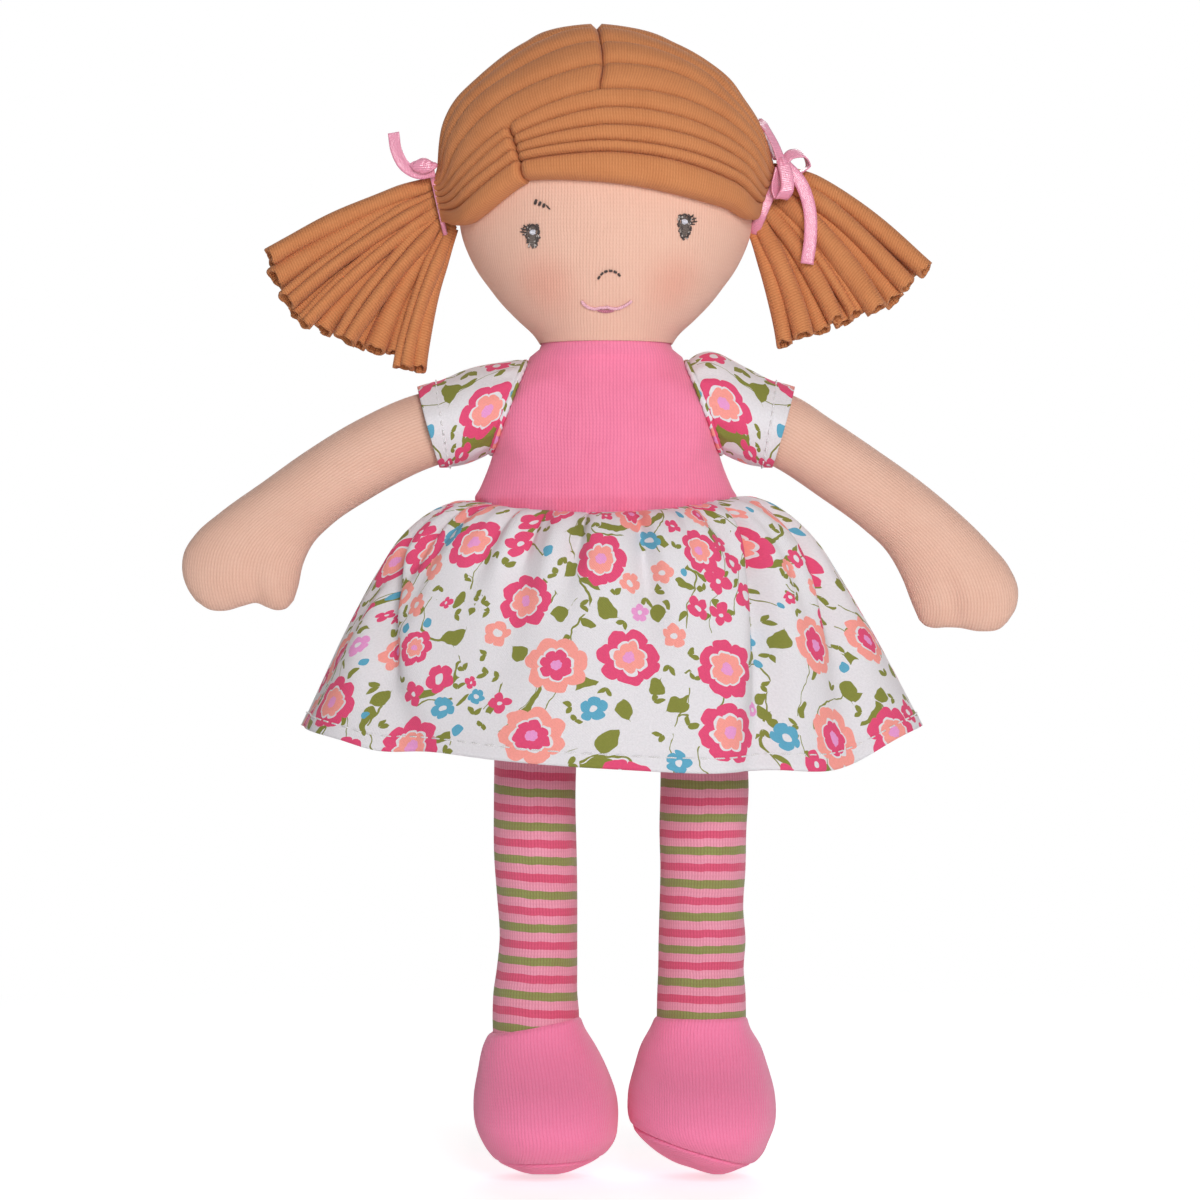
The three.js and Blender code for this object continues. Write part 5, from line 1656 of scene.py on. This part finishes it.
@dataclass
class Skirt:
    """The gathered skirt of printed cotton lawn: seam, gathers, folds and a stitched hem.

    A profile's places are (distance from the middle, z). A fold is its turn at the waist and at
    the hem in degrees, its depth, its width and its length.
    """

    side_profile: Rows = (
        (28.9, 0.4), (31.5, 1.6), (35.5, 0.9), (41.5, -2.9), (46.2, -7.4), (51.0, -14.4), (55.4, -21.8),
        (59.2, -28.8), (62.8, -36.2), (66.2, -43.4), (69.0, -49.2),
    )
    front_profile: Rows = (
        (14.4, -2.6), (17.0, -1.8), (20.6, -2.4), (24.0, -5.2), (26.8, -9.5), (29.6, -18.0), (32.2, -27.5),
        (34.6, -36.5), (36.8, -45.5), (39.5, -57.2),
    )
    main_folds: Rows = (
        (180.0, 230.0, 8.0, 5.2, 1.3), (207.0, 216.0, 4.8, 4.4, 0.6), (244.0, 247.0, 5.0, 3.6, 0.45),
        (262.0, 261.0, 3.8, 3.0, 0.35), (283.0, 279.0, 4.8, 3.6, 0.6), (325.0, 299.0, 8.4, 4.8, 1.8),
        (352.0, 324.0, 7.4, 5.2, 1.1),
    )
    fold_count: int = 22
    gather_depth: float = 0.95
    gathers: int = 44
    wall: float = 0.34
    hem_depth: float = 3.2
    flat: tuple[float, float] = (0.36, 0.064)

    def __post_init__(self) -> None:
        """Adds small random folds all round to the main ones."""
        rng = np.random.default_rng(5)
        count = self.fold_count
        start = (np.arange(count) + rng.uniform(-0.33, 0.33, count)) * 360 / count
        ranges = ((-5, 5), (0.8, 3.4), (3.4, 6.0), (0.35, 1.5))
        lean, *rest = (rng.uniform(low, high, count) for low, high in ranges)
        self.folds = np.concatenate([np.array(self.main_folds), np.stack([start, start + lean, *rest], -1)])

    def folded(self, share: Array, turn: Array) -> Array:
        """How far the cloth lies in from its smooth form.

        A fold is a valley, depth times exp(-(angle / width) squared). It starts narrow at the
        waist, widens downwards and dies away at its own length.
        """
        inward = np.zeros_like(share)
        for start, end, depth, width, length in self.folds:
            middle = np.radians(lerp(start, end, share))
            angle = np.degrees(np.angle(np.exp(1j * (turn - middle))))
            width = width * lerp(0.45, 1.25, share**0.8)
            fade = 1 - ease((share - 0.15) / (length - 0.1))
            inward = inward + depth * ease(share / 0.07) * fade * np.exp(-((angle / width) ** 2))
        return inward

    def surface(self, share: Array, turn: Array) -> Array:
        """Points of the skirt from the waist to the hem.

        The section at a share is an oval between the side and the front profiles. It is moved in
        by the folds and in and out by fine gathers that die away below the waist, and by slow
        waves that grow to the hem.

        Args:
            share: 0 at the waist, 1 at the hem.
            turn: the angle round the skirt.

        Returns:
            The points.
        """
        side, front = path_through(self.side_profile, share), path_through(self.front_profile, share)
        across, forward = np.cos(turn), np.sin(turn)
        gather = self.gather_depth * ease(share / 0.02) * np.exp(-share / 0.12)
        wave = gather * np.cos(self.gathers * turn + 2 * np.sin(3 * turn))
        slow = 1.1 * ease(share) * (np.cos(5 * turn + 0.7) + 0.8 * np.cos(8 * turn + 2.1))
        spread = wave + slow - self.folded(share, turn) + 1.1 * ease(share / 0.2)
        x, y = (side[..., 0] + spread) * across, (front[..., 0] + spread) * forward
        droop = 2.6 * np.exp(-(((x - 34) / 24) ** 2)) + 4.4 * np.exp(-(((x - 53) / 11.5) ** 2))
        droop = (droop + 1.8 * np.exp(-(((x + 50) / 9) ** 2))) * share**2
        lip = 0.5 * np.cos(3 * turn + 0.6) * share**2 + 0.8 * across * np.exp(-share / 0.1)
        return np.stack([x, y, lerp(side[..., 1], front[..., 1], forward**2) - droop + lip], -1)

    def build(self) -> None:
        """The cloth and its hem's running stitches."""
        columns, rows = 430, 92
        down = np.linspace(0, 1, rows) ** 1.15
        share, turn = np.meshgrid(down, circle(columns, math.pi / 2), indexing="ij")
        points = self.surface(share, turn)
        along = distances(points, 0).mean(axis=1)
        around = (np.arange(columns + 1) / columns - 0.5) * self.flat[0] / MM
        cloth = np.stack(np.broadcast_arrays(around, along[:, None]), -1)
        in_hem = ease((along - (along[-1] - self.hem_depth)) / 0.5)
        thickness = (self.wall * (1 + 0.9 * in_hem))[:, None] * np.ones(columns)
        wall = Patch.wall(points, cloth, thickness, round_columns=True)
        piece = sew("skirt_cloth", wall, COTTON, "", ["skirt"])
        stitches = running_stitches(self.surface, 1 - self.hem_depth / along[-1], 118, 0.42, 0.72)
        hem = sew("skirt_hem_stitches", stitches, HEM_THREAD, "")
        for made in (piece, hem):
            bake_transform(made)


@dataclass
class Leg:
    """A striped stocking leg and its shoe: an upper and a sole of pink jersey.

    A shoe's row is (height above the floor, left edge, right edge, half depth, forward), and left
    is towards -X. A leg's row is (depth below the waist, shift to +X, added half width).
    """

    side: Side
    x: float
    radius: float
    cuff_z: float
    cuff_tilt: float
    sole_z: float
    sole_tilt: float
    shoe_rows: Rows
    leg_rows: Rows
    top_z: float = -31.4
    columns: int = 144
    under: float = 0.86

    def stocking(self) -> Patch:
        """A tube from the seat into the shoe, round at the top and a little lumpy with stuffing."""
        left, columns = self.side is Side.LEFT, 72
        dome = np.radians(np.linspace(82, 8, 10))
        pivot_z = self.top_z - self.radius
        z = np.concatenate([pivot_z + self.radius * np.sin(dome), np.linspace(pivot_z, -122, 130)])
        lump = row_at(-z, self.leg_rows)
        width = np.append(self.radius * np.cos(dome), np.full(130, self.radius)) + lump[:, 1]
        rings = oval_rings(width, width - lump[:, 1], z, circle(columns, math.pi if left else 0.0))
        rings[..., 0] += self.x + lump[:, :1]
        cuff = self.cuff_z + self.cuff_tilt * (rings[..., 0] - self.x)
        inside = 1 - 0.1 * ease((cuff - 0.4 - rings[..., 2]) / 2.5)[..., None]
        rings = lerp(points_of(self.x, 0.0, rings[..., 2]), rings, inside)
        cloth = ring_cloth(rings, columns // 4 * (1 if left else 3))
        cloth[..., 1] = -z[:, None]
        return Patch.tube(rings, cloth)

    def profile(self, share: Array, turn: Array) -> Array:
        """Points of the whole shoe.

        Args:
            share: 0 at the cuff, 1 at the middle of the sole's underside.
            turn: the angle round the shoe.

        Returns:
            The points.
        """
        heights, rows = np.split(np.array(self.shoe_rows), [1], axis=1)
        steps = np.append(0, np.cumsum(np.hypot(np.diff(heights[:, 0]), np.diff(rows[:, 1]))))
        place = np.minimum(share / self.under, 1.0)
        table = curve_through(place, steps / steps[-1], np.array(self.shoe_rows))
        height, left, right, half_depth, forward = np.moveaxis(table, -1, 0)
        close = 1 - np.clip((share - self.under) / (1 - self.under), 0, 1)
        square = 1 + 0.06 * np.sin(2 * turn) ** 2
        x = (right + left) / 2 + (right - left) / 2 * close * np.cos(turn) * square
        y = -forward + half_depth * close * np.sin(turn) * square
        lifted = 0.25 * (1 - close) ** 2 + 0.13 * np.maximum(0, -y - 2) * ease(1 - height / 14)
        return np.stack([x, y, SOLE_Z + height + lifted], -1)

    def seam_share(self, turn: Array, plane_z: float, tilt: float, low: float, high: float) -> Array:
        """Where each column of the shoe crosses a tilted plane, by halving between two shares."""
        top, bottom = np.full_like(turn, low), np.full_like(turn, high)
        for _ in range(24):
            share = (top + bottom) / 2
            place = self.profile(share, turn)
            above = place[..., 2] - plane_z - tilt * (place[..., 0] - self.x) > 0
            top, bottom = np.where(above, share, top), np.where(above, bottom, share)
        return (top + bottom) / 2

    def half_shoe(self, turn: Array, top: Array, bottom: Array, rows: int, roll: Sequence) -> Array:
        """Rings of the shoe between two lines, with edges rolled in as a sewn seam pulls them.

        Args:
            turn: the columns' angles.
            top: the share where each column starts.
            bottom: the share where it ends.
            rows: how many rings.
            roll: how far the first and last rings are pulled in, in mm.

        Returns:
            Points, as rings by columns.
        """
        share = lerp(top, bottom, np.linspace(0, 1, rows)[:, None])
        points = self.profile(share, np.broadcast_to(turn, share.shape))
        normal = grid_normals(points, True)
        normal = normal * np.sign(np.sum(normal * (points - points.mean(axis=(0, 1))), -1, keepdims=True))
        run = distances(points, 0)
        pull = roll[0] * np.exp(-((run / 0.55) ** 2)) + roll[1] * np.exp(-(((run[-1] - run) / 0.55) ** 2))
        return points - normal * pull[..., None]

    def build(self) -> None:
        """The stocking, the upper and the sole, which meet in a rolled seam."""
        word = self.side.word
        body = f"leg_{word}"
        finish = STOCKINGS[self.side]
        leg = sew(f"stocking_leg_{word}", self.stocking(), finish, body, [f"leg_{word}"])
        turn = circle(self.columns, -3 * math.pi / 2)
        cuff = self.seam_share(turn, self.cuff_z, self.cuff_tilt, 0.0, 0.5)
        seam = self.seam_share(turn, self.sole_z, self.sole_tilt, 0.3, 0.93)
        upper = self.half_shoe(turn, cuff, seam, 92, (0.5, 0.5))
        sole = self.half_shoe(turn, seam, np.full(self.columns, 0.998), 44, (0.5, 0.0))
        closed = np.concatenate([sole, sole[:, :1]], axis=1)
        run = np.where(closed[..., 1] < -8, 1, -1) * (distances(closed, 0) - distances(closed, 0)[-1])
        c, s = math.cos(math.radians(50)), math.sin(math.radians(50))
        laid = closed[..., :1] * (c, -s) + run[..., None] * (s, c)
        halves = ("upper", upper, ring_cloth(upper, self.columns // 2)), ("sole", sole, laid)
        for half, rings, cloth in halves:
            node, patch = f"shoe_{half}_{word}", Patch.tube(rings, cloth)
            piece = sew(f"shoe_{half}_jersey_{word}", patch, SHOE, body, [node])


LEG_RIGHT = Leg(
    Side.RIGHT,
    x=-16.0,
    radius=9.2,
    cuff_z=-117.1,
    cuff_tilt=0.18,
    sole_z=-146.6,
    sole_tilt=0.04,
    shoe_rows=(
        (38.0, -25.2, -6.5, 9.5, 0.0), (33.4, -25.9, -5.0, 10.0, 0.1), (28.8, -27.9, -2.2, 11.6, 1.0),
        (24.0, -28.9, 0.3, 13.8, 3.4), (17.7, -29.8, 2.5, 17.6, 6.8), (12.9, -29.5, 2.7, 19.3, 8.0),
        (8.2, -27.9, 1.9, 18.7, 8.2), (5.6, -26.5, 0.3, 17.6, 8.1), (2.9, -24.1, -3.2, 15.2, 8.0),
        (1.4, -21.2, -6.3, 12.8, 8.0), (0.5, -18.9, -8.6, 10.4, 8.0), (0.0, -16.6, -11.0, 7.6, 8.0),
    ),
    leg_rows=(
        (31.0, 0.0, 0.0), (56.0, 0.0, 0.1), (66.0, -0.15, 0.05), (80.0, 0.05, 0.15), (88.0, 0.4, -0.1),
        (98.0, 0.7, -0.4), (105.0, 0.35, -0.05), (110.0, 0.0, 0.3), (115.0, 0.1, 0.6), (122.0, 0.0, 0.3),
    ),
)
LEG_LEFT = Leg(
    Side.LEFT,
    x=22.0,
    radius=9.5,
    cuff_z=-115.2,
    cuff_tilt=0.0,
    sole_z=-144.2,
    sole_tilt=-0.33,
    shoe_rows=(
        (38.0, 12.1, 31.5, 9.7, 0.0), (33.4, 10.2, 32.5, 10.2, 0.2), (29.0, 7.8, 35.0, 11.4, 1.1),
        (25.0, 6.5, 36.4, 13.2, 2.9), (18.6, 4.9, 38.0, 17.2, 6.4), (13.0, 5.3, 38.0, 19.3, 8.0),
        (8.0, 8.6, 36.4, 18.7, 8.2), (5.2, 11.6, 35.3, 17.2, 8.0), (2.9, 15.2, 33.4, 15.0, 8.0),
        (1.4, 19.4, 30.2, 12.6, 8.0), (0.5, 22.0, 28.0, 10.2, 8.0), (0.0, 24.0, 26.2, 7.4, 8.0),
    ),
    leg_rows=(
        (31.0, 0.0, 0.0), (56.0, 0.2, 0.3), (64.0, 0.3, 0.5), (73.0, -0.05, 0.35), (82.0, -0.05, 0.15),
        (91.0, -0.4, 0.0), (98.0, -0.25, 0.35), (105.0, -0.5, 0.2), (110.0, -0.4, 0.5), (115.0, -0.4, 0.6),
        (122.0, -0.3, 0.4),
    ),
)


def build_seat_seam() -> None:
    """The strip under the seat that the leg tops are sewn into: a flattened roll of jersey."""
    count, turn = 60, circle(28)
    end = np.sqrt(np.maximum(0.02, 1 - np.abs(np.linspace(-1, 1, count)) ** 8))[:, None]
    x = np.linspace(-26, 31, count)[:, None]
    roll = Patch.tube(points_of(x, 6.4 * end * np.cos(turn), -29.4 + 1.2 * end * np.sin(turn)))
    sew("seat_seam_roll", roll, BODICE, "hips", ["seat_seam"])


class Studio:
    """The camera, the soft lamps, the pale floor and the white backdrop."""

    lens_mm = 130.0
    sensor_mm = 36.0
    photo_width_mm = 271.8
    middle_x = -1.36
    middle_z = -21.2
    floor_reach = 6.0
    floor_gap = 0.0002

    def camera(self) -> None:
        """A long lens straight in front, so that the photograph's width spans photo_width_mm."""
        data = bpy.data.cameras.new("camera")
        data.lens, data.sensor_width = self.lens_mm, self.sensor_mm
        data.clip_start, data.clip_end = 0.05, 20
        distance = self.photo_width_mm * self.lens_mm / self.sensor_mm
        made = bpy.data.objects.new("camera", data)
        made.location = (self.middle_x * MM, -distance * MM, self.middle_z * MM)
        made.rotation_euler = (math.pi / 2, 0, 0)
        bpy.context.scene.collection.objects.link(made)
        bpy.context.scene.camera = made

    def lamp(self, name: str, place: Point, size: float, power: float) -> None:
        """A square soft lamp that points at the doll's middle."""
        data = bpy.data.lights.new(name, "AREA")
        data.size, data.energy = size, power
        made = bpy.data.objects.new(name, data)
        made.location = place
        made.rotation_euler = (-Vector(place)).to_track_quat("-Z", "Y").to_euler()
        bpy.context.scene.collection.objects.link(made)

    def backdrop(self) -> None:
        """White where the camera sees past the doll, with a floor that keeps its shadow."""
        world = bpy.data.worlds.new("studio")
        bpy.context.scene.world = world
        sky = Recipe(world)
        rays = sky.add("LightPath").outputs
        seen = rays["Is Camera Ray"]
        for ray in ("Is Glossy Ray", "Is Transmission Ray"):
            seen = sky.add("Math:MAXIMUM", seen, rays[ray])
        level = sky.add("MapRange", seen, 0.0, 1.0, 0.17, 1.0)
        sky.add("OutputWorld", sky.add("Background", WHITE, level))

        floor = Recipe(bpy.data.materials.new("studio_floor"))
        add = floor.add
        rays = add("LightPath").outputs
        paper = add("BsdfDiffuse", (0.86, 0.86, 0.86, 1))
        lifted = add("AddShader", paper, add("Emission", WHITE, 0.6))
        away = add("VectorMath:LENGTH", add("TexCoord").outputs["Object"]).outputs["Value"]
        far = add("MapRange", away, 0.22, 0.5, 0.0, 1.0, interpolation_type="SMOOTHSTEP")
        seen = add("MixShader", far, lifted, add("Emission", WHITE, 1.0))
        bounce = add("AddShader", paper, add("Emission", WHITE, 0.2))
        add("OutputMaterial", add("MixShader", rays["Is Camera Ray"], bounce, seen))
        mesh = bpy.data.meshes.new("studio_floor")
        reach, z = self.floor_reach, SOLE_Z * MM - self.floor_gap
        corners = [(-reach, -reach, z), (reach, -reach, z), (reach, reach, z), (-reach, reach, z)]
        mesh.from_pydata(corners, [], [(0, 1, 2, 3)])
        mesh.materials.append(floor.owner)
        sheet = bpy.data.objects.new("studio_floor", mesh)
        bpy.context.scene.collection.objects.link(sheet)

    def build(self) -> None:
        """Sets up the studio and plain colour handling."""
        self.camera()
        self.lamp("key", (0.26, -1.3, 0.36), 0.5, 11.6)
        self.lamp("fill", (-0.35, -1.15, -0.4), 0.5, 8.2)
        self.lamp("back", (0.1, 1.2, 0.6), 1.0, 9.0)
        self.backdrop()
        bpy.context.scene.view_settings.view_transform = "Standard"


def main() -> None:
    """Builds every piece in order."""
    logging.basicConfig(level=logging.INFO, format="%(name)s %(message)s")
    Studio().build()
    head = HeadForm()
    skin = sew("face_and_head", head.patch(), FACE_SKIN, "head", ["head"])
    Embroidery(head).build()
    Hair(head).build()
    Pigtail(Side.LEFT, 0.42, STRANDS_LEFT).build()
    Pigtail(Side.RIGHT, 0.12, STRANDS_RIGHT).build()
    BOW_LEFT.build()
    BOW_RIGHT.build()
    Torso().build()
    for arm, crown in ((ARM_LEFT, 2.2), (ARM_RIGHT, -0.3)):
        arm.build()
        Sleeve(arm.side, crown).build()
    Skirt().build()
    build_seat_seam()
    LEG_LEFT.build()
    LEG_RIGHT.build()


if __name__ == "__main__":
    main()
